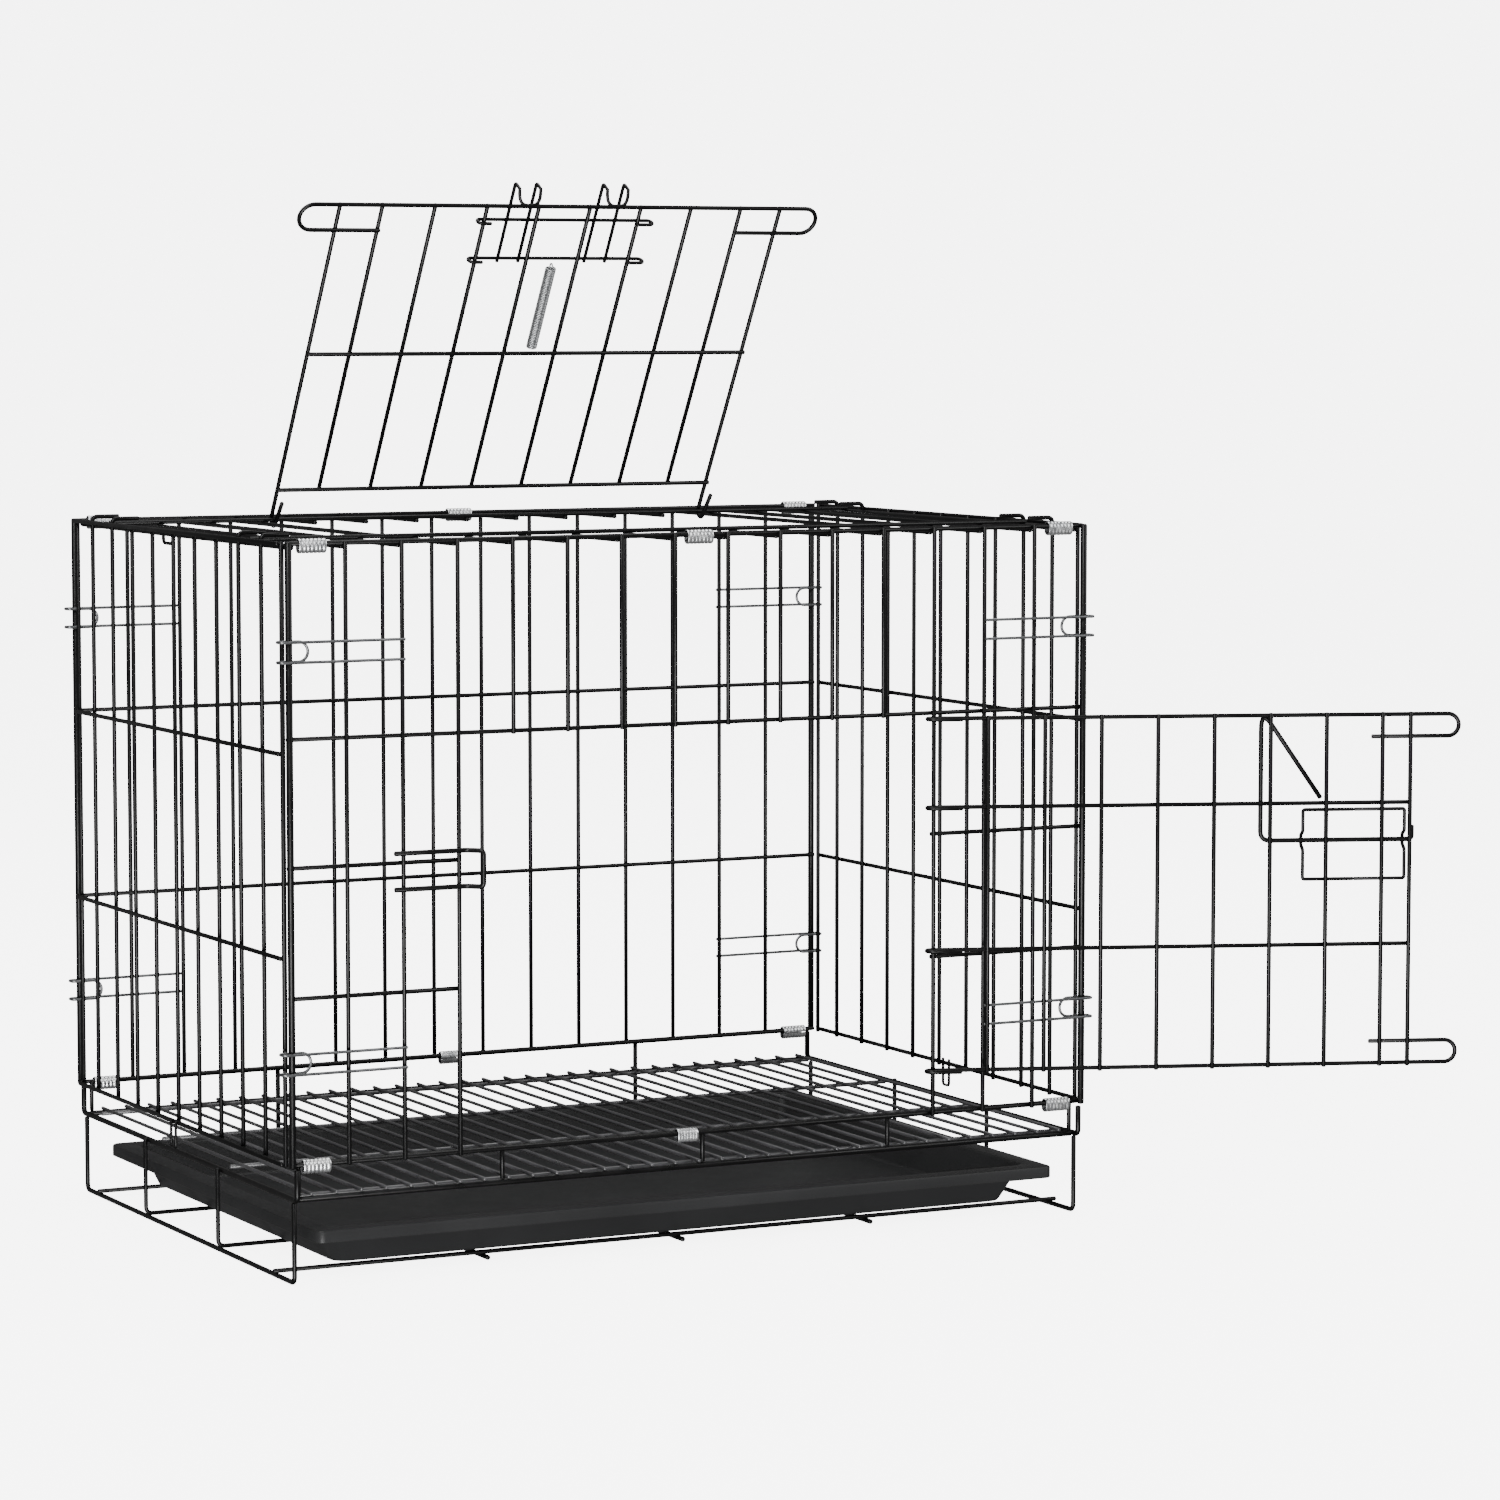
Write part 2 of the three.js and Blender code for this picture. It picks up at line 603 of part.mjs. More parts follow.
// ---------- base ----------
const SILL_END = BASE_X - beside(EDGE, MAIN);
const POST_TOP = UPRIGHT_LOW - 0.8;
const CORNER_Y = 206;          // the side rails' upturned ends
const POSTS = [-147, 3, 147];
const RUNNERS = { left: -147, centre: 0, right: 147 };
const FLOOR_RAIL_Y = 170;
const CROSS_WIRE_Y = 70;
const POST_X = BASE_X + beside(FOOT, MAIN);

function raisedRail(side) {
  const y = side * PAIRED_Y;
  const foot = BASE + half(EDGE) + GAP;
  const corners = [
    v(-SILL_END, y, foot),
    v(-SILL_END, y, SILL),
    v(SILL_END, y, SILL),
    v(SILL_END, y, foot),
  ];
  const wires = [wire(MAIN, bent(corners, 2.4))];
  if (side < 0) {
    for (const x of POSTS) {
      wires.push(straight(MAIN, v(x, y, foot), v(x, y, SILL)));
    }
  }
  return joined(wires);
}

function sideBaseRail(side) {
  const x = side * BASE_X;
  const corners = [
    v(x, -CORNER_Y, POST_TOP),
    v(x, -CORNER_Y, BASE),
    v(x, CORNER_Y, BASE),
    v(x, CORNER_Y, POST_TOP),
  ];
  return wire(EDGE, bent(corners, 4));
}

function footFrame(side) {
  const x = side * BASE_X;
  const top = BASE - half(EDGE) - GAP;
  const corners = [
    v(x, -BASE_Y, top),
    v(x, -BASE_Y, FLOOR_WIRE),
    v(x, BASE_Y, FLOOR_WIRE),
    v(x, BASE_Y, top),
  ];
  return wire(FOOT, bent(corners, 4));
}

function crossWire(y) {
  const top = BASE + half(EDGE);
  const corners = [
    v(-POST_X, y, top),
    v(-POST_X, y, FLOOR_CROSS),
    v(POST_X, y, FLOOR_CROSS),
    v(POST_X, y, top),
  ];
  return wire(MAIN, bent(corners, 4));
}

function trayRunner(x) {
  const back = BASE_Y + beside(EDGE, FOOT);
  const top = PANEL_BOTTOM - half(MAIN) - GAP;
  const corners = [v(x, -FLOOR_RAIL_Y - 6, FLOOR_WIRE), v(x, back, FLOOR_WIRE), v(x, back, top)];
  return wire(FOOT, bent(corners, 5));
}

for (const [hand, side] of [['left', -1], ['right', 1]]) {
  piece(`${hand}_base_rail`, sideBaseRail(side), BLACK_WIRE);
  piece(`${hand}_foot_frame`, footFrame(side), BLACK_WIRE);
}
for (const [end, side] of [['front', -1], ['back', 1]]) {
  const reach = BASE_X - half(EDGE) - GAP;
  const y = side * BASE_Y;
  piece(`${end}_base_rail`, straight(EDGE, v(-reach, y, BASE), v(reach, y, BASE)), BLACK_WIRE);
  piece(`${end}_raised_rail`, raisedRail(side), BLACK_WIRE);
  const floorY = side * FLOOR_RAIL_Y;
  const from = v(-POST_X, floorY, FLOOR_CROSS);
  piece(`${end}_floor_rail`, straight(MAIN, from, v(POST_X, floorY, FLOOR_CROSS)), BLACK_WIRE);
  piece(`${end}_cross_wire`, crossWire(side * CROSS_WIRE_Y), BLACK_WIRE);
}
for (const [place, x] of Object.entries(RUNNERS)) {
  piece(`${place}_tray_runner`, trayRunner(x), BLACK_WIRE);
}

// ---------- floor grate ----------
const GRATE_WIRES = 33;
const GRATE_SPAN = 285;
const GRATE_END = 201.4;
const GRATE_RAILS = [-190, -65, 65, 190];

function floorGrate() {
  const wireZ = BASE + half(EDGE) + GAP + half(GRATE);
  const railZ = wireZ - welded(GRATE, MAIN);
  const wires = [];
  for (let i = 0; i < GRATE_WIRES; i += 1) {
    const x = -GRATE_SPAN + i * 2 * GRATE_SPAN / (GRATE_WIRES - 1);
    wires.push(straight(GRATE, v(x, -GRATE_END, wireZ), v(x, GRATE_END, wireZ)));
  }
  for (const y of GRATE_RAILS) {
    wires.push(straight(MAIN, v(-GRATE_SPAN - 5, y, railZ), v(GRATE_SPAN + 5, y, railZ)));
  }
  return joined(wires);
}

piece('floor_grate', floorGrate(), BLACK_WIRE);

// ---------- tray ----------
// A block whose bottom and top rectangles differ, in x as +-half widths and in y as front and back.
function taperedBlock(bottom, bottomZ, top, topZ) {
  const geometry = new THREE.BoxGeometry(1, 1, 1);
  const position = geometry.attributes.position;
  for (let i = 0; i < position.count; i += 1) {
    const rect = position.getZ(i) > 0 ? top : bottom;
    const x = position.getX(i) > 0 ? rect.x : -rect.x;
    const y = position.getY(i) > 0 ? rect.back : rect.front;
    position.setXYZ(i, x, y, position.getZ(i) > 0 ? topZ : bottomZ);
  }
  return geometry;
}

const shrunk = (rect, by) => ({ x: rect.x - by, front: rect.front + by, back: rect.back - by });

function trayPan() {
  const rimBottom = TRAY_RIM_Z - SHEET;
  const lipBottom = TRAY_RIM_Z - TRAY_LIP;
  const inLip = shrunk(TRAY_RIM, SHEET);
  const pan = solid(taperedBlock(TRAY_FLOOR, TRAY_BOTTOM, TRAY_WALL, rimBottom));
  const rim = solid(taperedBlock(TRAY_RIM, lipBottom, TRAY_RIM, TRAY_RIM_Z));
  const underRim = solid(taperedBlock(inLip, lipBottom - 1, inLip, rimBottom));
  const hollow = solid(taperedBlock(
    shrunk(TRAY_FLOOR, SHEET / 4),
    TRAY_BOTTOM + SHEET,
    shrunk(TRAY_WALL, SHEET / 4),
    TRAY_RIM_Z + SHEET,
  ));
  return toGeometry(rim.subtract(underRim).add(pan).subtract(hollow));
}

piece('tray', trayPan(), BLACK_PLASTIC);

export default crate;
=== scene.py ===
"""Visual model of the folding wire dog crate: round powder-coated wires, rolled steel sleeves,
a coil spring and a moulded tray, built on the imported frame. Lengths are in millimetres."""
import math

import bpy
import bmesh
from mathutils import Matrix, Vector


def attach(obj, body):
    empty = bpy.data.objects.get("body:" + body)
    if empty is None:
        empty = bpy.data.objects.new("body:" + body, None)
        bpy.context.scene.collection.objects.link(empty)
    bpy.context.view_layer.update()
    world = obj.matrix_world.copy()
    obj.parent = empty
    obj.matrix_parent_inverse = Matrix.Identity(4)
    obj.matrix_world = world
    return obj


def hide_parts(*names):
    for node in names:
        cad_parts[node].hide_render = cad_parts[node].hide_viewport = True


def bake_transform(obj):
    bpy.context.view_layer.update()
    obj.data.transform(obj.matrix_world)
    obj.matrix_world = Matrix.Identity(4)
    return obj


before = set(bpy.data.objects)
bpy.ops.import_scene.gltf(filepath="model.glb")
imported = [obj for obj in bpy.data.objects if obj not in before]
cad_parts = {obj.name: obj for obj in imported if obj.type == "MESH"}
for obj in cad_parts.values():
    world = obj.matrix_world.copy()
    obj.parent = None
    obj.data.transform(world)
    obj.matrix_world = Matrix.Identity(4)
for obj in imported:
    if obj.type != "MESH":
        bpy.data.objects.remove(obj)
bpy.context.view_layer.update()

# ---------- dimensions, as in the CAD model ----------
MM = 0.001
WIDTH = 600.0
DEPTH = 410.0
PITCH = 40.0
COLUMNS = 16
DOOR_LEFT = 3
DOOR_RIGHT = 12
MAIN = 1.6
EDGE = 2.0
CORNER = 2.4
FOOT = 1.75
THIN = 1.05
GRATE = 1.25
SLIDE = 1.3
ROOF = 488.4
PANEL_TOP = 488.2
PANEL_BOTTOM = 80.2
FRONT_RAILS = (360.6, 276.2, 190.2)
SIDE_RAILS = (351.0, 216.5)
SIDE_TOP = 488.2
SIDE_X = 301.0
SIDE_SPAN = 195.1
SIDE_PITCH = 40.45
SIDE_MIDDLE = 2.0
SILL = 80.2
BASE = 57.0
BASE_X = 297.4
BASE_Y = 200.0
FRONT_DOOR_OPEN = 20.5
FRONT_DOOR_RAILS = (356.5, 294.5, 194.5, 109.8)
FRONT_DOOR_FIRST = 38.6
FRONT_DOOR_END = 338.6
HINGE_BEND = 4.4
TOP_DOOR_OPEN = 59.0
TOP_HINGE_Y = 140.6
TOP_LATCH_Y = -130.0
TOP_DOOR_EDGE = 172.0
TOP_DOOR_ROWS = (24.3, 138.3, 259.8)
BOLT_Z = 268.0
GAP = 0.3
HINGE_PLAY = 0.8
STUB = 2.0
WELD = 0.15
SQUARE = math.sqrt(math.pi) / 2
CLEARANCE = 0.4
WIRE_SIDES = 14
BEND_STEPS = 8
# How far before a corner each kind of wire starts to bend.
BENDS = {"keeper": 4, "hook": 4, "tongue": 2.5, "clip": 2.5, "catch": 3, "guide": 1.6, "handle": 13.9,
         "elbow": 7, "tip": 3, "prong": 2.2, "base_rail": 4, "foot": 5, "raised_rail": 2.4,
         "cross_wire": 5, "runner": 6}


def welded(a, b):
    """Distance between the centre lines of two wires of radius a and b that are sunk into each other."""
    return SQUARE * (a + b) - WELD


def beside(a, b):
    """Distance between the centre lines of two wires of radius a and b that lie a gap apart."""
    return SQUARE * (a + b) + GAP


def column_x(k):
    """Where upright k of the front and back panels stands, counted from the left."""
    return -WIDTH / 2 + k * PITCH


FLOOR_WIRE = SQUARE * FOOT
FLOOR_CROSS = FLOOR_WIRE + beside(FOOT, MAIN)
TRAY_BOTTOM = FLOOR_CROSS + SQUARE * MAIN + GAP
ROOF_LENGTHWISE = ROOF - welded(MAIN, MAIN)
PANEL_RAIL_Y = DEPTH / 2 - welded(MAIN, MAIN)
PAIRED_Y = PANEL_RAIL_Y - beside(MAIN, MAIN)
SIDE_HINGE_X = WIDTH / 2 - beside(MAIN, EDGE) - HINGE_PLAY
FRONT_DOOR_PLACE = (Matrix.Translation((column_x(DOOR_RIGHT), -DEPTH / 2, 0))
                    @ Matrix.Rotation(-math.radians(FRONT_DOOR_OPEN), 4, "Z"))
TOP_DOOR_PLACE = (Matrix.Translation((0, TOP_HINGE_Y, ROOF))
                  @ Matrix.Rotation(-math.radians(TOP_DOOR_OPEN), 4, "X"))


# ---------- materials ----------
def new_material(name):
    material = bpy.data.materials.new(name)
    material.use_nodes = True
    tree = material.node_tree
    return material, tree, tree.nodes["Principled BSDF"]


def noise(tree, scale, detail, roughness=0.55):
    coordinates = tree.nodes.new("ShaderNodeTexCoord")
    texture = tree.nodes.new("ShaderNodeTexNoise")
    texture.inputs["Scale"].default_value = scale
    texture.inputs["Detail"].default_value = detail
    texture.inputs["Roughness"].default_value = roughness
    tree.links.new(coordinates.outputs["Object"], texture.inputs["Vector"])
    return texture.outputs["Fac"]


def ramp(tree, value, stops):
    node = tree.nodes.new("ShaderNodeValToRGB")
    elements = node.color_ramp.elements
    while len(elements) < len(stops):
        elements.new(0.5)
    for element, (place, colour) in zip(elements, stops):
        element.position = place
        element.color = (*colour, 1)
    tree.links.new(value, node.inputs["Fac"])
    return node.outputs["Color"]


def spread(tree, value, low, high):
    """The middle of a noise's range, stretched to run from low to high."""
    node = tree.nodes.new("ShaderNodeMapRange")
    node.inputs["From Min"].default_value = 0.3
    node.inputs["From Max"].default_value = 0.7
    node.inputs["To Min"].default_value = low
    node.inputs["To Max"].default_value = high
    tree.links.new(value, node.inputs["Value"])
    return node.outputs["Result"]


def bump(tree, shader, value, strength, distance):
    node = tree.nodes.new("ShaderNodeBump")
    node.inputs["Strength"].default_value = strength
    node.inputs["Distance"].default_value = distance
    tree.links.new(value, node.inputs["Height"])
    tree.links.new(node.outputs["Normal"], shader.inputs["Normal"])


def powder_coat(name, shine, tone):
    """Black powder coat with a fine orange peel and faint dull patches, `tone` light and `shine` glossy; a
    raised `tone` paints a grey sheen into the colour.
    """
    material, tree, shader = new_material(name)
    stops = [(place, (level * tone, level * tone, blue * tone))
             for place, level, blue in ((0.3, 0.7, 0.75), (0.55, 1.0, 1.06), (0.8, 1.8, 1.9))]
    tree.links.new(ramp(tree, noise(tree, 22, 4), stops), shader.inputs["Base Color"])
    tree.links.new(spread(tree, noise(tree, 60, 3), 0.26, 0.42), shader.inputs["Roughness"])
    shader.inputs["Specular IOR Level"].default_value = shine
    bump(tree, shader, noise(tree, 900, 2), 0.18, 0.0002)
    return material


def zinc_plate():
    """Bright zinc-plated strip with rolling streaks and a slight bluish mottling."""
    material, tree, shader = new_material("zinc_plate")
    stops = [(0.3, (0.68, 0.70, 0.72)), (0.55, (0.86, 0.87, 0.88)), (0.8, (0.96, 0.96, 0.95))]
    tree.links.new(ramp(tree, noise(tree, 130, 5), stops), shader.inputs["Base Color"])
    shader.inputs["Metallic"].default_value = 0.95
    tree.links.new(spread(tree, noise(tree, 260, 4), 0.2, 0.42), shader.inputs["Roughness"])
    bump(tree, shader, noise(tree, 600, 4), 0.25, 0.0002)
    return material


def spring_steel():
    """Grey drawn spring wire."""
    material, tree, shader = new_material("spring_steel")
    stops = [(0.3, (0.38, 0.39, 0.40)), (0.7, (0.58, 0.59, 0.60))]
    tree.links.new(ramp(tree, noise(tree, 300, 4), stops), shader.inputs["Base Color"])
    shader.inputs["Metallic"].default_value = 0.9
    tree.links.new(spread(tree, noise(tree, 400, 3), 0.26, 0.42), shader.inputs["Roughness"])
    return material


def clip_wire():
    """Dull grey zinc-plated wire."""
    material, tree, shader = new_material("clip_wire")
    stops = [(0.3, (0.13, 0.135, 0.14)), (0.7, (0.22, 0.225, 0.23))]
    tree.links.new(ramp(tree, noise(tree, 120, 4), stops), shader.inputs["Base Color"])
    shader.inputs["Metallic"].default_value = 0.85
    tree.links.new(spread(tree, noise(tree, 200, 3), 0.3, 0.45), shader.inputs["Roughness"])
    return material


def moulded_plastic():
    """Black injection-moulded plastic: satin, with a fine grain and faint scuffs."""
    material, tree, shader = new_material("black_moulded_plastic")
    stops = [(0.3, (0.018, 0.0182, 0.0188)), (0.6, (0.023, 0.0232, 0.024)), (0.85, (0.031, 0.0315, 0.0325))]
    tree.links.new(ramp(tree, noise(tree, 9, 5), stops), shader.inputs["Base Color"])
    tree.links.new(spread(tree, noise(tree, 14, 6, 0.7), 0.34, 0.46), shader.inputs["Roughness"])
    shader.inputs["Specular IOR Level"].default_value = 0.2
    bump(tree, shader, noise(tree, 1400, 2), 0.12, 0.0001)
    return material


def white_glow():
    """Evenly glowing white, for the floor and the backdrop."""
    material, tree, shader = new_material("white_backdrop")
    shader.inputs["Base Color"].default_value = (0.9, 0.9, 0.9, 1)
    shader.inputs["Roughness"].default_value = 1.0
    shader.inputs["Emission Color"].default_value = (1, 1, 1, 1)
    shader.inputs["Emission Strength"].default_value = GLOW_STRENGTH
    return material


GLOW_STRENGTH = 6.0
BLACK_WIRE = powder_coat("black_powder_coat", 0.26, 0.0026)
# The grate's coat is the same black powder coat with its colour raised about twenty times: a painted grey
# sheen standing in for highlights on the grate wires.
GRATE_COAT_PAINTED_SHEEN = powder_coat("grate_powder_coat_painted_sheen", 1.0, 0.05)
ZINC = zinc_plate()
SPRING_STEEL = spring_steel()
CLIP_WIRE = clip_wire()
PLASTIC = moulded_plastic()
WHITE_GLOW = white_glow()


# ---------- wires ----------
END_ROUNDING = ((0.0, 0.45), (0.12, 0.8), (0.4, 1.0))


def bent(corners, trim, steps=BEND_STEPS):
    """Corner points with each inner corner rounded by a bend that starts `trim` before it."""
    corners = [Vector(c) for c in corners]
    points = [corners[0]]
    for before, corner, after in zip(corners, corners[1:], corners[2:]):
        start = corner + (before - corner).normalized() * trim
        end = corner + (after - corner).normalized() * trim
        for i in range(steps + 1):
            t = i / steps
            points.append(start * (1 - t) ** 2 + corner * 2 * t * (1 - t) + end * t ** 2)
    points.append(corners[-1])
    return points


def arc(centre, radius, first, last, u, v, steps=16):
    """Points round `centre` from angle `first` to `last`, measured from direction u towards v."""
    centre, u, v = Vector(centre), Vector(u), Vector(v)
    angles = [first + (last - first) * i / steps for i in range(steps + 1)]
    return [centre + u * (radius * math.cos(a)) + v * (radius * math.sin(a)) for a in angles]


def wire_stations(points, radius):
    """(place, tangent, normal, radius) at each point, with a normal that never twists."""
    points = [Vector(p) for p in points]
    stations = []
    normal = None
    for i, point in enumerate(points):
        inward = (point - points[max(i - 1, 0)]).normalized()
        outward = (points[min(i + 1, len(points) - 1)] - point).normalized()
        tangent = (inward + outward).normalized()
        if normal is None:
            normal = tangent.orthogonal().normalized()
        else:
            normal = (normal - tangent * normal.dot(tangent)).normalized()
        stations.append((point, tangent, normal, radius))
    return stations


def rounded_end(station, inward):
    """Rings that close a wire over; each lies a part of the radius in from its end."""
    place, tangent, normal, radius = station
    return [(place + tangent * (inward * radius * along), tangent, normal, radius * size)
            for along, size in END_ROUNDING]


def join_rings(bm, rings):
    """Skins neighbouring closed rings of vertices with quads."""
    for near, far in zip(rings, rings[1:]):
        for j in range(len(near)):
            k = (j + 1) % len(near)
            bm.faces.new((near[j], near[k], far[k], far[j]))


def add_tube(bm, points, radius, sides=WIRE_SIDES):
    """A round wire along the points, with its two ends rounded over."""
    stations = wire_stations(points, radius)
    stations = rounded_end(stations[0], 1) + stations[1:-1] + rounded_end(stations[-1], -1)[::-1]
    rings = []
    for place, tangent, normal, size in stations:
        side = tangent.cross(normal)
        ring = []
        for j in range(sides):
            a = 2 * math.pi * j / sides
            ring.append(bm.verts.new(place + (normal * math.cos(a) + side * math.sin(a)) * size))
        rings.append(ring)
    join_rings(bm, rings)
    bm.faces.new(rings[0][::-1])
    bm.faces.new(rings[-1])


def finish_piece(name, bm, material, place=None, smooth_angle=50):
    """Turns a bmesh in millimetres into an object in metres with one material."""
    if place is not None:
        bm.transform(place)
    bm.transform(Matrix.Scale(MM, 4))
    bmesh.ops.recalc_face_normals(bm, faces=bm.faces)
    mesh = bpy.data.meshes.new(name)
    bm.to_mesh(mesh)
    bm.free()
    mesh.materials.append(material)
    for polygon in mesh.polygons:
        polygon.use_smooth = True
    mesh.set_sharp_from_angle(angle=math.radians(smooth_angle))
    piece = bpy.data.objects.new(name, mesh)
    bpy.context.scene.collection.objects.link(piece)
    return piece


def fit(piece, body, slot, *nodes):
    """Hides the parts that the piece stands for and hangs it on the body that carries it; `slot`, its
    finish, is not used.
    """
    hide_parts(*nodes)
    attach(piece, body)
    return piece


def wire_piece(name, wires, body, *nodes, place=None, material=None):
    """One black piece of welded wires; each wire is (radius, points)."""
    bm = bmesh.new()
    for radius, points in wires:
        add_tube(bm, points, radius)
    return fit(finish_piece(name, bm, material or BLACK_WIRE, place), body, "black_wire", *nodes)


# ---------- front, back and top panels ----------
UPRIGHT_LOW = PANEL_BOTTOM - STUB
UPRIGHT_HIGH = PANEL_TOP + SQUARE * MAIN


def upright(side, k, low, high):
    """Upright k of the back (side 1) or front (side -1) panel; the two at the corners are thicker."""
    radius = CORNER if k in (0, COLUMNS - 1) else MAIN
    y = side * DEPTH / 2
    return radius, [(column_x(k), y, low), (column_x(k), y, high)]


def panel_rail(side, z, from_column, to_column):
    """A rail inside the uprights of the back (side 1) or front (side -1) panel."""
    y = side * PANEL_RAIL_Y
    past = SQUARE * MAIN
    return MAIN, [(column_x(from_column) - past, y, z), (column_x(to_column) + past, y, z)]


def front_panel():
    wires = []
    for k in range(COLUMNS):
        low = FRONT_RAILS[0] - STUB if DOOR_LEFT < k < DOOR_RIGHT else UPRIGHT_LOW
        wires.append(upright(-1, k, low, UPRIGHT_HIGH))
    for z in (PANEL_TOP, FRONT_RAILS[0], PANEL_BOTTOM):
        wires.append(panel_rail(-1, z, 0, COLUMNS - 1))
    for z in FRONT_RAILS[1:]:
        wires.append(panel_rail(-1, z, 0, DOOR_LEFT))
        wires.append(panel_rail(-1, z, DOOR_RIGHT, COLUMNS - 1))
    wire_piece("front_panel_wires", wires, "frame", "front_panel")


def back_panel():
    wires = [upright(1, k, UPRIGHT_LOW, UPRIGHT_HIGH) for k in range(COLUMNS)]
    for z in (PANEL_TOP, *SIDE_RAILS, PANEL_BOTTOM):
        wires.append(panel_rail(1, z, 0, COLUMNS - 1))
    wire_piece("back_panel_wires", wires, "frame", "back_panel")


KEEPER = {"from": 17.0, "to": 35.0, "z": 479.0}
ROOF_INSET = 0.2
ROOF_OVERHANG = 0.8


def top_panel():
    reach = SIDE_HINGE_X + SQUARE * EDGE - ROOF_INSET
    wires = []
    for y in (-PAIRED_Y, TOP_LATCH_Y, TOP_HINGE_Y, PAIRED_Y):
        wires.append((MAIN, [(-reach, y, ROOF), (reach, y, ROOF)]))
    end = PAIRED_Y + ROOF_OVERHANG
    for side in (-1, 1):
        x = side * SIDE_HINGE_X
        wires.append((EDGE, [(x, -end, ROOF_LENGTHWISE), (x, end, ROOF_LENGTHWISE)]))
        keeper = [(x, KEEPER["from"], ROOF_LENGTHWISE), (x, KEEPER["from"], KEEPER["z"]),
                  (x, KEEPER["to"], KEEPER["z"]), (x, KEEPER["to"], ROOF_LENGTHWISE)]
        wires.append((GRATE, bent(keeper, BENDS["keeper"])))
    for k in range(1, COLUMNS - 1):
        x = column_x(k)
        spans = [(-end, end)]
        if DOOR_LEFT < k < DOOR_RIGHT:
            spans = [(-end, TOP_LATCH_Y + STUB), (TOP_HINGE_Y - STUB, end)]
        for near, far in spans:
            wires.append((MAIN, [(x, near, ROOF_LENGTHWISE), (x, far, ROOF_LENGTHWISE)]))
    parts = [f"top_panel_{part}" for part in ("left", "right", "front", "back")]
    wire_piece("top_panel_wires", wires, "frame", *parts)


# ---------- side panels ----------
SIDE_INNER = 4
HOOKED = (-4, -3, 3, 4)
HOOK_REACH = 20.0
HOOK_Z = 492.3
SIDE_HIGH = SIDE_TOP + SQUARE * MAIN
SIDE_RAIL_X = SIDE_X + welded(MAIN, MAIN)
TONGUE = {"half": 4.5, "top": 83.0, "bottom": 63.0}


def side_panel(hand, side):
    x = side * SIDE_X
    rail_x = side * SIDE_RAIL_X
    wires = [(MAIN, [(x, y, UPRIGHT_LOW), (x, y, SIDE_HIGH)]) for y in (-SIDE_SPAN, SIDE_SPAN)]
    for i in range(-SIDE_INNER, SIDE_INNER + 1):
        y = SIDE_MIDDLE + i * SIDE_PITCH
        if i in HOOKED:
            corners = [(x, y, UPRIGHT_LOW), (x, y, HOOK_Z), (x - side * HOOK_REACH, y, HOOK_Z)]
            wires.append((MAIN, bent(corners, BENDS["hook"])))
        else:
            wires.append((MAIN, [(x, y, UPRIGHT_LOW), (x, y, SIDE_HIGH)]))
    end = SIDE_SPAN + SQUARE * MAIN
    for z in (SIDE_TOP, *SIDE_RAILS, PANEL_BOTTOM):
        wires.append((MAIN, [(rail_x, -end, z), (rail_x, end, z)]))
    tongue_x = rail_x + side * welded(MAIN, THIN)
    tongue = [(tongue_x, -TONGUE["half"], TONGUE["top"]), (tongue_x, -TONGUE["half"], TONGUE["bottom"]),
              (tongue_x, TONGUE["half"], TONGUE["bottom"]), (tongue_x, TONGUE["half"], TONGUE["top"])]
    wires.append((THIN, bent(tongue, BENDS["tongue"])))
    wire_piece(f"{hand}_panel_wires", wires, f"{hand}_side", f"{hand}_panel")


# ---------- corner clips and hinge sleeves ----------
CLIP_HEIGHTS = {"upper": 417.8, "lower": 147.5}
CLIP = {"half": 6.6, "from": 219.0, "outside": 307.0, "end_centre": 291.5, "behind": 200.6}


def corner_clip(end, along, hand, across, level):
    """One wire laid twice across the last uprights, round the corner post and closed behind it."""
    face = along * (DEPTH / 2 + beside(CORNER, THIN))
    behind = along * CLIP["behind"]
    z = CLIP_HEIGHTS[level]
    outside = across * CLIP["outside"]
    end_x = across * CLIP["end_centre"]

    def arm(dz):
        return bent([(across * CLIP["from"], face, z + dz), (outside, face, z + dz),
                     (outside, behind, z + dz), (end_x, behind, z + dz)], BENDS["clip"])

    turn = arc((end_x, behind, z), CLIP["half"], math.pi / 2, -math.pi / 2, (-across, 0, 0), (0, 0, 1))
    bm = bmesh.new()
    add_tube(bm, arm(CLIP["half"]) + turn[1:-1] + arm(-CLIP["half"])[::-1], THIN)
    name = f"corner_clip_{end}_{hand}_{level}"
    fit(finish_piece(name + "_wire", bm, CLIP_WIRE), "frame", "clip_wire", name)


SLEEVE_ROOM = 0.8
SLEEVE = {"depth": (PANEL_RAIL_Y - PAIRED_Y) / 2 + SQUARE * MAIN + SLEEVE_ROOM, "height": 4.9,
          "wall": 0.6, "drop": 1.5, "seam": 0.5}
FLUTES = (-0.36, -0.22, -0.08, 0.08, 0.22, 0.36)
FLUTE = {"half": 0.04, "half_bottom": 0.015, "depth": 0.32}
SLEEVE_LINES = {
    "top": {"z": PANEL_TOP, "left": (-282, 19), "centre": (0, 19), "right": (282, 19)},
    "bottom": {"z": PANEL_BOTTOM, "left": (-282, 19), "centre": (-10, 15), "right": (282, 19)},
}


def sleeve_outline(inward):
    """A strip rolled into a tall loop, as a closed thick outline that starts and ends at the seam."""
    straight = SLEEVE["height"] - SLEEVE["depth"]
    seam = SLEEVE["seam"] / 2

    def loop(radius):
        upper = arc((0, straight), radius, 0, math.pi, (1, 0), (0, 1), 12)
        lower = arc((0, -straight), radius, math.pi, 2 * math.pi, (1, 0), (0, 1), 12)
        return [Vector((radius, seam))] + upper + lower + [Vector((radius, -seam))]
    return loop(SLEEVE["depth"] - inward) + loop(SLEEVE["depth"] - SLEEVE["wall"])[::-1]


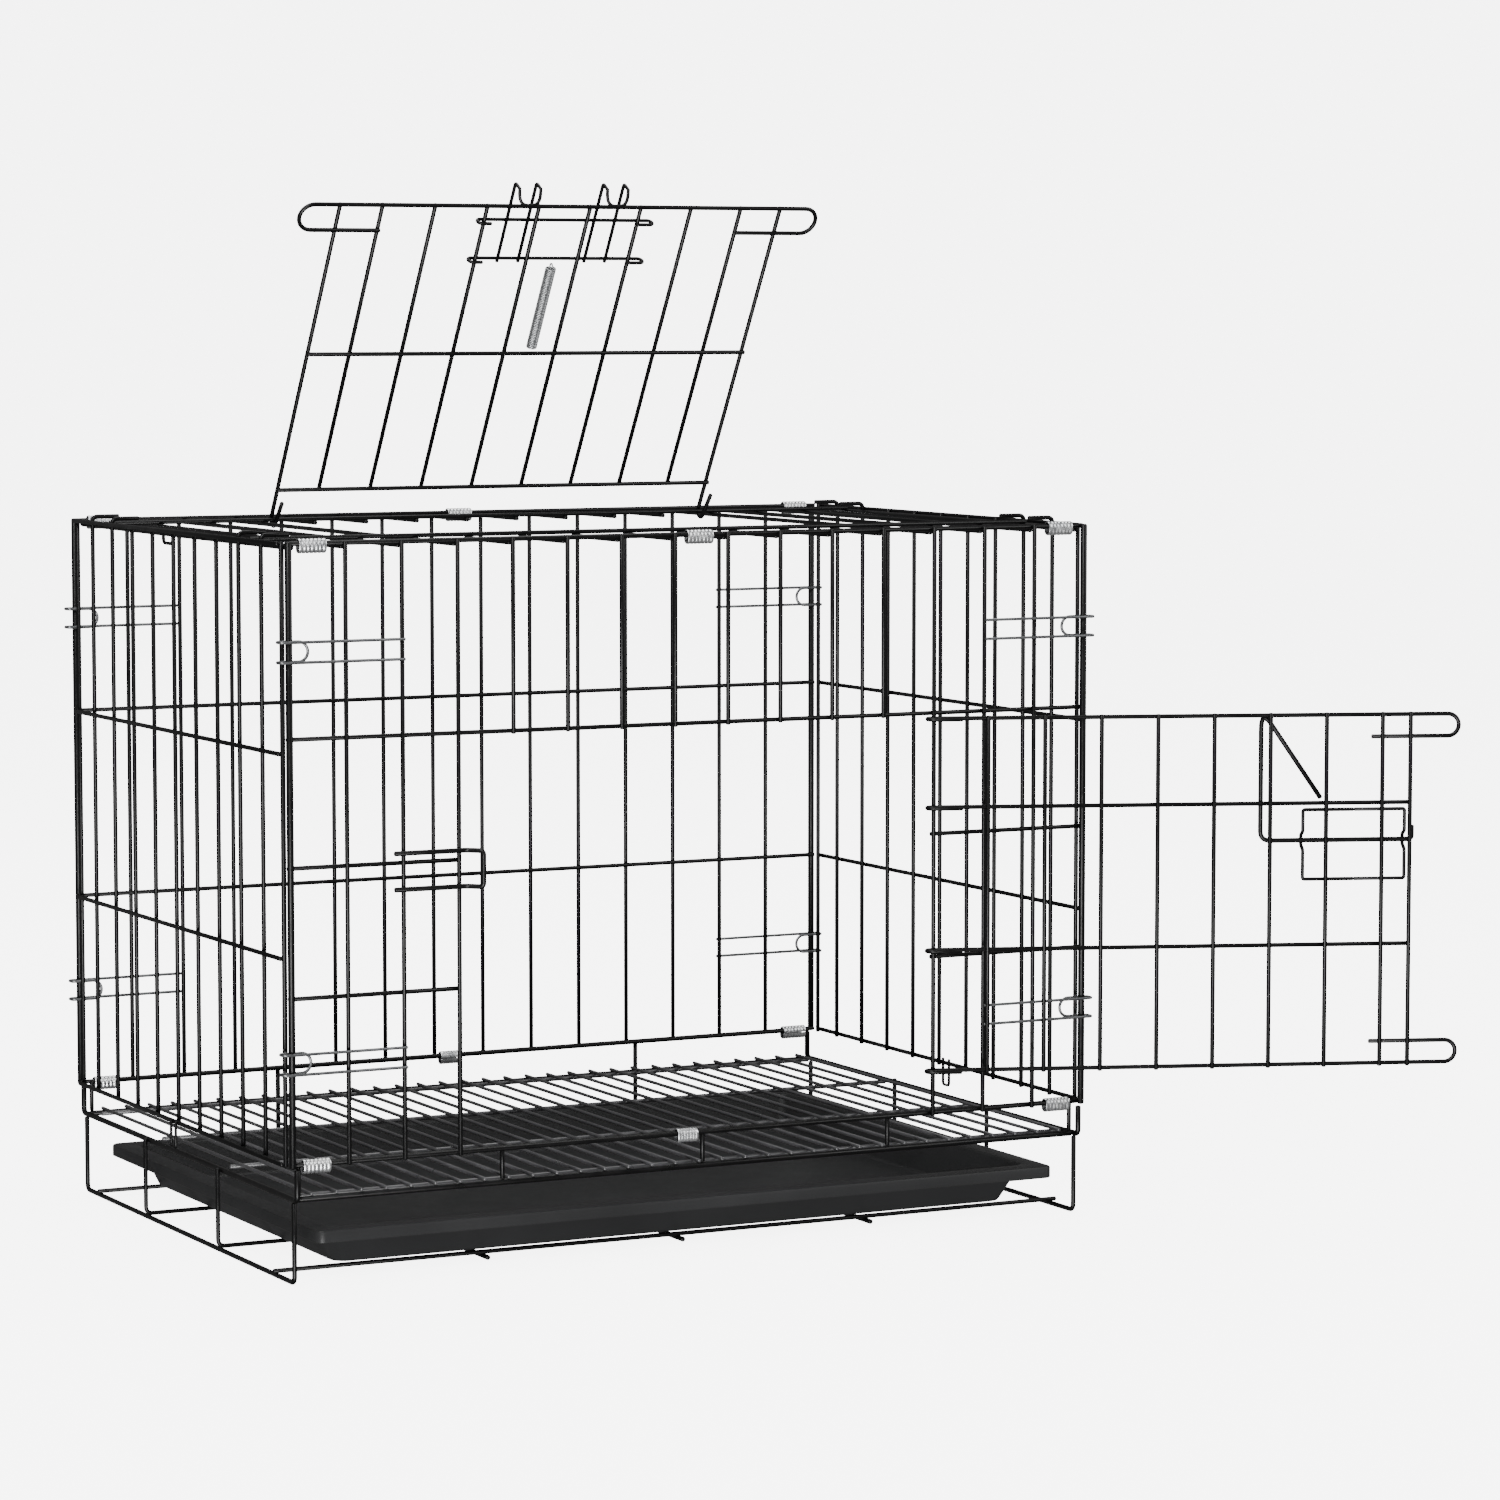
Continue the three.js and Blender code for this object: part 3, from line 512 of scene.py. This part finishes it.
def sleeve_profile():
    """(part of the length, how far the face lies in) along the strip: eased ends and pressed flutes."""
    profile = [(-0.5, 0.2), (-0.48, 0.02)]
    for flute in FLUTES:
        profile += [(flute - FLUTE["half"], 0.0), (flute - FLUTE["half_bottom"], FLUTE["depth"]),
                    (flute + FLUTE["half_bottom"], FLUTE["depth"]), (flute + FLUTE["half"], 0.0)]
    return profile + [(0.48, 0.02), (0.5, 0.2)]


def hinge_sleeve(end, along, level, place):
    """A rolled zinc strip with pressed flutes, its seam on the inside of the crate."""
    line = SLEEVE_LINES[level]
    x, length = line[place]
    y = along * (PANEL_RAIL_Y + PAIRED_Y) / 2
    z = line["z"] - SLEEVE["drop"]
    bm = bmesh.new()
    rings = []
    for part, inward in sleeve_profile():
        outline = sleeve_outline(inward)
        rings.append([bm.verts.new((x + part * length, y - along * p.x, z + p.y)) for p in outline])
    join_rings(bm, rings)
    count = len(rings[0])
    for ring in (rings[0], rings[-1]):
        for j in range(count // 2 - 1):
            bm.faces.new((ring[j], ring[j + 1], ring[count - 2 - j], ring[count - 1 - j]))
    name = f"hinge_sleeve_{end}_{level}_{place}"
    piece = finish_piece(name + "_strip", bm, ZINC, smooth_angle=35)
    fit(piece, "frame", "bright_steel", name)


# ---------- latch catch ----------
CATCH = {"low": 259.0, "high": 283.0, "from": -228.0, "step": -176.0, "tip": -167.5, "stand_off": 12.0}


def latch_catch():
    """A U of wire laid on the front panel's uprights, with its closed end bent outwards."""
    on_panel = -DEPTH / 2 - beside(MAIN, FOOT)
    out = -DEPTH / 2 - CATCH["stand_off"]
    upper = [(CATCH["from"], on_panel, CATCH["high"]), (CATCH["step"], on_panel, CATCH["high"]),
             (CATCH["tip"], out, CATCH["high"])]
    lower = [(x, y, CATCH["low"]) for x, y, z in reversed(upper)]
    points = bent(upper + lower, BENDS["catch"])
    wire_piece("latch_catch_wire", [(FOOT, points)], "frame", "latch_catch")


# ---------- front door, its bolt and guide ----------
HINGE_TAIL = 20.0
LOOP_RADIUS = 7.75
LOOP_CENTRE = 366.0
LOOP_BACK = 311.0
RAIL_OVERHANG = 1.5
FRONT_DOOR_COLUMNS = 8
DOOR_UPRIGHT_Y = HINGE_BEND - welded(MAIN, MAIN)
BOLT_Y = HINGE_BEND + SQUARE * (MAIN + FOOT) + CLEARANCE
GUIDE_Y = DOOR_UPRIGHT_Y + beside(MAIN, SLIDE)
GUIDE = {"from": 262.7, "to": 335.5, "low": 240.8, "high": 289.8, "ramp": 3.0, "bend_steps": 5}
BOLT = {"start": (276.0, 297.5), "handle_x": 233.0, "handle_top": 360.6,
        "tip_x": 341.5, "tip_rise": 10.0}


def hinge_wrap(z):
    """The end of a door rail at height z, turned half round the hinge upright, with a short tail."""
    turn = arc((0, 0, z), HINGE_BEND, math.pi / 2, 3 * math.pi / 2, (1, 0, 0), (0, 1, 0))
    return turn + [Vector((HINGE_TAIL, -HINGE_BEND, z))]


def loop_end(z, turn):
    """The free end of a door rail at height z, looped back below it (turn -1) or above it (turn 1)."""
    centre = (LOOP_CENTRE, HINGE_BEND, z + turn * LOOP_RADIUS)
    back = Vector((LOOP_BACK, HINGE_BEND, z + turn * 2 * LOOP_RADIUS))
    return [back] + arc(centre, LOOP_RADIUS, math.pi / 2, -math.pi / 2, (1, 0, 0), (0, 0, turn))


def front_door():
    top, upper, lower, bottom = FRONT_DOOR_RAILS
    wires = [(MAIN, loop_end(top, -1) + hinge_wrap(top)),
             (MAIN, loop_end(bottom, 1) + hinge_wrap(bottom))]
    for z in (upper, lower):
        free_end = Vector((FRONT_DOOR_END + RAIL_OVERHANG, HINGE_BEND, z))
        wires.append((MAIN, [free_end] + hinge_wrap(z)))
    columns = [FRONT_DOOR_FIRST + i * PITCH for i in range(FRONT_DOOR_COLUMNS)]
    for x in columns + [FRONT_DOOR_END]:
        wires.append((MAIN, [(x, DOOR_UPRIGHT_Y, bottom - STUB), (x, DOOR_UPRIGHT_Y, top + STUB)]))
    wire_piece("front_door_wires", wires, "front_door", "front_door", place=FRONT_DOOR_PLACE)


def bolt_guide():
    """A rectangle of wire in two halves, whose uprights step outwards round the bolt."""
    out = BOLT_Y + SQUARE * (FOOT + SLIDE) + CLEARANCE
    kink = SQUARE * (FOOT + SLIDE) + 2 * CLEARANCE
    foot = kink + GUIDE["ramp"]
    split = (GUIDE["from"] + GUIDE["to"]) / 2
    wires = []
    for x in (GUIDE["from"], GUIDE["to"]):
        corners = [(split, GUIDE_Y, GUIDE["low"]), (x, GUIDE_Y, GUIDE["low"]), (x, GUIDE_Y, BOLT_Z - foot),
                   (x, out, BOLT_Z - kink), (x, out, BOLT_Z + kink), (x, GUIDE_Y, BOLT_Z + foot),
                   (x, GUIDE_Y, GUIDE["high"]), (split, GUIDE_Y, GUIDE["high"])]
        wires.append((SLIDE, bent(corners, BENDS["guide"], GUIDE["bend_steps"])))
    wire_piece("bolt_guide_wire", wires, "front_door", "bolt_guide", place=FRONT_DOOR_PLACE)


def latch_bolt():
    """A sliding wire that runs through the guide, with a triangular handle and a turned-up tip."""
    start = Vector((BOLT["start"][0], BOLT_Y, BOLT["start"][1]))
    handle_top = Vector((BOLT["handle_x"], BOLT_Y, BOLT["handle_top"]))
    handle_bottom = Vector((BOLT["handle_x"], BOLT_Y, BOLT_Z))
    tip = Vector((BOLT["tip_x"], BOLT_Y, BOLT_Z))
    tip_end = Vector((BOLT["tip_x"], BOLT_Y, BOLT_Z + BOLT["tip_rise"]))
    points = [start] + bent([start, handle_top, handle_bottom], BENDS["handle"])[1:-1]
    points += bent([handle_top, handle_bottom, tip], BENDS["elbow"])[1:-1]
    points += bent([handle_bottom, tip, tip_end], BENDS["tip"])[1:]
    wire_piece("latch_bolt_wire", [(FOOT, points)], "bolt", "latch_bolt", place=FRONT_DOOR_PLACE)


# ---------- top door, its latch and spring ----------
TOP_RAIL_Z = HINGE_BEND - welded(MAIN, MAIN)
TOP_LOOP = {"radius": 10.2, "centre": 191.5, "back": 139.0}
TOP_TAIL = {"row": 20.0, "z": -8.0}
TOP_COLUMNS = (-140, -100, -60, -20, 20, 60, 100, 140)


def top_door():
    low, middle, free = TOP_DOOR_ROWS
    end = TOP_DOOR_EDGE + SQUARE * MAIN
    wires = [(MAIN, [(-end, -row, TOP_RAIL_Z), (end, -row, TOP_RAIL_Z)]) for row in (low, middle)]
    rim = []
    for side in (-1, 1):
        centre = (side * TOP_LOOP["centre"], -free + TOP_LOOP["radius"], TOP_RAIL_Z)
        back = Vector((side * TOP_LOOP["back"], -free + 2 * TOP_LOOP["radius"], TOP_RAIL_Z))
        turn = arc(centre, TOP_LOOP["radius"], math.pi / 2, -math.pi / 2, (side, 0, 0), (0, 1, 0))
        loop = [back] + turn
        rim += loop if side < 0 else loop[::-1]
    wires.append((MAIN, rim))
    for x in TOP_COLUMNS:
        wires.append((MAIN, [(x, -low + STUB, HINGE_BEND), (x, -free, HINGE_BEND)]))
    for side in (-1, 1):
        x = side * TOP_DOOR_EDGE
        wrap = arc((x, 0, 0), HINGE_BEND, math.pi / 2, -math.pi / 2, (0, 1, 0), (0, 0, 1))
        tail = Vector((x, -TOP_TAIL["row"], TOP_TAIL["z"]))
        wires.append((MAIN, [Vector((x, -free, HINGE_BEND))] + wrap + [tail]))
    wire_piece("top_door_wires", wires, "top_door", "top_door", place=TOP_DOOR_PLACE)


BARS = {"rows": (214.2, 245.7), "z": HINGE_BEND + beside(MAIN, SLIDE) + 0.1, "curl": 3.0}
BAR_ENDS = ((-1, -62.0, -55.0), (1, 68.7, 58.0))
PRONGS = {"inner": 26.0, "outer": 42.3, "fold": 276.6, "fold_z": -3.0}
MOUTH = {"row": 266.0, "z": -8.0, "steps": 18, "squareness": 0.65}


def latch_bar(row):
    """A cross bar whose two ends curl back under the door's wires."""
    points = []
    for side, centre, back in BAR_ENDS:
        axis = (centre, -row, BARS["z"] - BARS["curl"])
        curl = [Vector((back, -row, BARS["z"] - 2 * BARS["curl"]))]
        curl += arc(axis, BARS["curl"], -math.pi / 2, math.pi / 2, (side, 0, 0), (0, 0, 1), 12)
        points += curl if side < 0 else curl[::-1]
    return SLIDE, points


def latch_hook(side):
    """One wire folded back at its free end, with a round mouth between its two prongs."""
    prong_z = BARS["z"] - welded(SLIDE, SLIDE)
    middle = (PRONGS["outer"] + PRONGS["inner"]) / 2
    half = (PRONGS["outer"] - PRONGS["inner"]) / 2
    rise = PRONGS["fold"] - MOUTH["row"]
    drop = PRONGS["fold_z"] - MOUTH["z"]

    def prong(x):
        return bent([(side * x, -BARS["rows"][0] + STUB, prong_z), (side * x, -PRONGS["fold"], prong_z),
                     (side * x, -PRONGS["fold"], PRONGS["fold_z"])], BENDS["prong"])

    mouth = []
    for i in range(1, MOUTH["steps"]):
        a = math.pi * i / MOUTH["steps"]
        x = middle + half * math.copysign(abs(math.cos(a)) ** MOUTH["squareness"], math.cos(a))
        into = math.sin(a) ** MOUTH["squareness"]
        mouth.append(Vector((side * x, -PRONGS["fold"] + rise * into, PRONGS["fold_z"] - drop * into)))
    return SLIDE, prong(PRONGS["outer"]) + mouth + prong(PRONGS["inner"])[::-1]


def top_latch():
    wires = [latch_bar(row) for row in BARS["rows"]] + [latch_hook(-1), latch_hook(1)]
    wire_piece("top_latch_wires", wires, "top_slide", "top_latch_slide", place=TOP_DOOR_PLACE)


SPRING = {"x": 1.0, "radius": 3.4, "wire": 0.6, "z": 4.6, "turns": 50, "steps": 14, "sides": 8,
          "inset": 0.7}
SPRING_HOOK = {"radius": 2.1, "centre": 2.8, "room": 4.2, "first": -60, "last": 200}


def latch_spring():
    """An extension spring with a hook at its end on the latch."""
    first = TOP_DOOR_ROWS[1] + STUB + CLEARANCE
    last = BARS["rows"][0] - STUB - CLEARANCE
    low, high = first + SPRING["inset"], last - SPRING_HOOK["room"]
    count = SPRING["turns"] * SPRING["steps"]
    coil = []
    for i in range(count + 1):
        a = 2 * math.pi * i / SPRING["steps"]
        row = low + (high - low) * i / count
        x = SPRING["x"] + SPRING["radius"] * math.cos(a)
        coil.append(Vector((x, -row, SPRING["z"] + SPRING["radius"] * math.sin(a))))
    across, along = Vector((0, 0, 1)), Vector((0, -1, 0))
    centre = Vector((SPRING["x"], -last + SPRING_HOOK["centre"], SPRING["z"]))
    hook = arc(centre, SPRING_HOOK["radius"], math.radians(SPRING_HOOK["first"]),
               math.radians(SPRING_HOOK["last"]), along, across, SPRING["steps"])
    bm = bmesh.new()
    add_tube(bm, coil + hook, SPRING["wire"], SPRING["sides"])
    piece = finish_piece("latch_spring_coil", bm, SPRING_STEEL, TOP_DOOR_PLACE)
    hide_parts("latch_spring")
    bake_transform(piece)


# ---------- base and floor grate ----------
SILL_END = BASE_X - beside(EDGE, MAIN)
POST_GAP = 0.8
POST_TOP = UPRIGHT_LOW - POST_GAP
CORNER_Y = 206.0
POSTS = (-147.0, 3.0, 147.0)
RUNNERS = {"left": -147.0, "centre": 0.0, "right": 147.0}
RUNNER_OVERHANG = 6.0
FLOOR_RAIL_Y = 170.0
CROSS_WIRE_Y = 70.0
POST_X = BASE_X + beside(FOOT, MAIN)
GRATE_WIRES = 33
GRATE_SPAN = 285.0
GRATE_END = 201.4
GRATE_RAILS = (-190.0, -65.0, 65.0, 190.0)
GRATE_RAIL_OVERHANG = 5.0


def base_side(hand, side):
    """The rail along one side of the base, turned up at its corners, and the foot frame below it."""
    x = side * BASE_X
    rail = [(x, -CORNER_Y, POST_TOP), (x, -CORNER_Y, BASE),
            (x, CORNER_Y, BASE), (x, CORNER_Y, POST_TOP)]
    name = f"{hand}_base_rail"
    wire_piece(name + "_wire", [(EDGE, bent(rail, BENDS["base_rail"]))], "frame", name)
    top = BASE - SQUARE * EDGE - GAP
    legs = [(x, -BASE_Y, top), (x, -BASE_Y, FLOOR_WIRE), (x, BASE_Y, FLOOR_WIRE), (x, BASE_Y, top)]
    name = f"{hand}_foot_frame"
    wire_piece(name + "_wire", [(FOOT, bent(legs, BENDS["foot"]))], "frame", name)


def raised_rail(end, side):
    """The rail that the sleeves hold, on its two bent legs, with short posts at the front."""
    foot = BASE + SQUARE * EDGE + GAP
    y = side * PAIRED_Y
    corners = [(-SILL_END, y, foot), (-SILL_END, y, SILL), (SILL_END, y, SILL), (SILL_END, y, foot)]
    wires = [(MAIN, bent(corners, BENDS["raised_rail"]))]
    if side < 0:
        wires += [(MAIN, [(x, y, foot), (x, y, SILL)]) for x in POSTS]
    wire_piece(f"{end}_raised_rail_wires", wires, "frame", f"{end}_raised_rail")


def base_end(end, side):
    """The straight rail, raised rail, floor rail and cross wire at the front or the back."""
    reach = BASE_X - SQUARE * EDGE - GAP
    y = side * BASE_Y
    rail = [(-reach, y, BASE), (reach, y, BASE)]
    wire_piece(f"{end}_base_rail_wire", [(EDGE, rail)], "frame", f"{end}_base_rail")
    raised_rail(end, side)
    floor_y = side * FLOOR_RAIL_Y
    floor_rail = [(-POST_X, floor_y, FLOOR_CROSS), (POST_X, floor_y, FLOOR_CROSS)]
    wire_piece(f"{end}_floor_rail_wire", [(MAIN, floor_rail)], "frame", f"{end}_floor_rail")
    cross_y = side * CROSS_WIRE_Y
    high = BASE + SQUARE * EDGE
    cross = [(-POST_X, cross_y, high), (-POST_X, cross_y, FLOOR_CROSS),
             (POST_X, cross_y, FLOOR_CROSS), (POST_X, cross_y, high)]
    name = f"{end}_cross_wire"
    wire_piece(name + "_bent", [(MAIN, bent(cross, BENDS["cross_wire"]))], "frame", name)


def tray_runner(place, x):
    """A wire that the tray slides on, turned up behind it as a stop."""
    back = BASE_Y + beside(EDGE, FOOT)
    high = PANEL_BOTTOM - SQUARE * MAIN - GAP
    runner = [(x, -FLOOR_RAIL_Y - RUNNER_OVERHANG, FLOOR_WIRE), (x, back, FLOOR_WIRE), (x, back, high)]
    name = f"{place}_tray_runner"
    wire_piece(name + "_wire", [(FOOT, bent(runner, BENDS["runner"]))], "frame", name)


def floor_grate():
    wire_z = BASE + SQUARE * EDGE + GAP + SQUARE * GRATE
    rail_z = wire_z - welded(GRATE, MAIN)
    wires = []
    for i in range(GRATE_WIRES):
        x = -GRATE_SPAN + i * 2 * GRATE_SPAN / (GRATE_WIRES - 1)
        wires.append((GRATE, [(x, -GRATE_END, wire_z), (x, GRATE_END, wire_z)]))
    reach = GRATE_SPAN + GRATE_RAIL_OVERHANG
    for y in GRATE_RAILS:
        wires.append((MAIN, [(-reach, y, rail_z), (reach, y, rail_z)]))
    # The grate wires take the coat with the painted grey sheen.
    wire_piece("floor_grate_wires", wires, "frame", "floor_grate", material=GRATE_COAT_PAINTED_SHEEN)


# ---------- tray ----------
RIM = (281.0, -200.0, 197.0)
WALL = (266.0, -185.0, 182.0)
PAN = (256.5, -171.0, 168.0)
RIM_Z = 34.5
LIP = 8.5
SHEET = 2.0
CORNER_STEPS = 10


def rounded_rectangle(rect, grow, corner):
    """Outline of (half width, front, back) grown on every side, with corners of the given radius."""
    half_x, front, back = rect
    half_x, front, back = half_x + grow, front - grow, back + grow
    points = []
    for x, y, first in ((half_x, back, 0), (-half_x, back, 1), (-half_x, front, 2), (half_x, front, 3)):
        centre = (x - math.copysign(corner, x), y - corner if y == back else y + corner)
        start = first * math.pi / 2
        points += arc(centre, corner, start, start + math.pi / 2, (1, 0), (0, 1), CORNER_STEPS)
    return points


def add_loft(bm, rings):
    """A closed skin over (outline, height) rings."""
    rows = [[bm.verts.new((p.x, p.y, z)) for p in outline] for outline, z in rings]
    join_rings(bm, rows)
    bm.faces.new(rows[0][::-1])
    bm.faces.new(rows[-1])


def tray():
    """The moulded pan: a flat floor, sloping walls, and a flat rim with a turned-down lip."""
    under = RIM_Z - SHEET
    lip = RIM_Z - LIP
    inner_floor = TRAY_BOTTOM + SHEET
    rings = [
        (rounded_rectangle(PAN, -3, 8), TRAY_BOTTOM),
        (rounded_rectangle(PAN, -0.6, 9), TRAY_BOTTOM + 0.6),
        (rounded_rectangle(PAN, 0.8, 10), TRAY_BOTTOM + 2.2),
        (rounded_rectangle(WALL, -0.6, 9), under - 0.6),
        (rounded_rectangle(WALL, 0.6, 10), under),
        (rounded_rectangle(RIM, -SHEET, 4.5), under),
        (rounded_rectangle(RIM, -SHEET, 4.5), lip + 0.4),
        (rounded_rectangle(RIM, -SHEET + 0.5, 5), lip),
        (rounded_rectangle(RIM, -0.5, 6), lip),
        (rounded_rectangle(RIM, 0, 6.5), lip + 0.5),
        (rounded_rectangle(RIM, 0, 6.5), RIM_Z - 1.5),
        (rounded_rectangle(RIM, -0.45, 6), RIM_Z - 0.45),
        (rounded_rectangle(RIM, -1.5, 5), RIM_Z),
        (rounded_rectangle(WALL, 1.2, 9), RIM_Z),
        (rounded_rectangle(WALL, 0, 8), RIM_Z - 0.4),
        (rounded_rectangle(WALL, -1.5, 7), RIM_Z - 1.8),
        (rounded_rectangle(PAN, -1, 7), inner_floor + 2.4),
        (rounded_rectangle(PAN, -2.2, 6), inner_floor + 0.8),
        (rounded_rectangle(PAN, -4.5, 5), inner_floor),
    ]
    bm = bmesh.new()
    add_loft(bm, rings)
    piece = finish_piece("tray_pan", bm, PLASTIC, smooth_angle=40)
    fit(piece, "tray", "black_plastic", "tray")


# ---------- stage, in metres ----------
CAMERA_PLACE = (-1.5299, -3.2623, 0.6443)
CAMERA_YAW = 27.13
CAMERA_PITCH = 5.05
CAMERA_LENS = 121.53
SENSOR_WIDTH = 36
VIEW_END = 60
BACKDROP_RADIUS = 20
FLOOR_RADIUS = 8
FLOOR_GAP = 0.0006
WORLD_STRENGTH = 0.16
LIT_POINT = Vector((0, 0, 0.25))
SOFTBOXES = {
    "key": {"place": (-2.4, -2.6, 3.2), "size": 2.2, "power": 150},
    "fill": {"place": (3.0, -2.2, 2.0), "size": 2.4, "power": 60},
    "top": {"place": (0.2, 0.6, 3.4), "size": 2.2, "power": 60},
    "low": {"place": (-1.6, -2.8, -0.9), "size": 1.8, "power": 150},
}


def stage_piece(name, bm):
    """A glowing white piece of the studio that only the camera sees, so it lights and shades nothing."""
    mesh = bpy.data.meshes.new(name)
    bm.to_mesh(mesh)
    bm.free()
    mesh.materials.append(WHITE_GLOW)
    piece = bpy.data.objects.new(name, mesh)
    piece.visible_diffuse = False
    piece.visible_glossy = False
    piece.visible_transmission = False
    piece.visible_shadow = False
    bpy.context.scene.collection.objects.link(piece)


def camera():
    viewer = bpy.data.objects.new("camera", bpy.data.cameras.new("camera"))
    viewer.data.lens = CAMERA_LENS
    viewer.data.sensor_width = SENSOR_WIDTH
    viewer.data.clip_end = VIEW_END
    viewer.location = CAMERA_PLACE
    viewer.rotation_euler = (math.radians(90 - CAMERA_PITCH), 0, -math.radians(CAMERA_YAW))
    bpy.context.scene.collection.objects.link(viewer)
    bpy.context.scene.camera = viewer


def surroundings():
    bm = bmesh.new()
    bmesh.ops.create_uvsphere(bm, u_segments=64, v_segments=32, radius=BACKDROP_RADIUS)
    stage_piece("backdrop", bm)
    bm = bmesh.new()
    bmesh.ops.create_circle(bm, cap_ends=True, segments=64, radius=FLOOR_RADIUS)
    bmesh.ops.translate(bm, verts=bm.verts, vec=(0, 0, -FLOOR_GAP))
    stage_piece("floor", bm)


def lights():
    world = bpy.data.worlds.new("studio")
    world.use_nodes = True
    background = world.node_tree.nodes["Background"]
    background.inputs["Color"].default_value = (1, 1, 1, 1)
    background.inputs["Strength"].default_value = WORLD_STRENGTH
    bpy.context.scene.world = world
    for name, box in SOFTBOXES.items():
        light = bpy.data.lights.new(name, "AREA")
        light.shape = "SQUARE"
        light.size = box["size"]
        light.energy = box["power"]
        lamp = bpy.data.objects.new(name, light)
        lamp.location = box["place"]
        lamp.rotation_euler = (LIT_POINT - Vector(box["place"])).to_track_quat("-Z", "Y").to_euler()
        bpy.context.scene.collection.objects.link(lamp)


camera()
surroundings()
lights()
front_panel()
back_panel()
top_panel()
side_panel("left", -1)
side_panel("right", 1)
for end, along in (("front", -1), ("back", 1)):
    for hand, across in (("left", -1), ("right", 1)):
        for level in CLIP_HEIGHTS:
            corner_clip(end, along, hand, across, level)
    for level in SLEEVE_LINES:
        for place in ("left", "centre", "right"):
            hinge_sleeve(end, along, level, place)
latch_catch()
front_door()
bolt_guide()
latch_bolt()
top_door()
top_latch()
latch_spring()
base_side("left", -1)
base_side("right", 1)
base_end("front", -1)
base_end("back", 1)
for place, x in RUNNERS.items():
    tray_runner(place, x)
floor_grate()
tray()
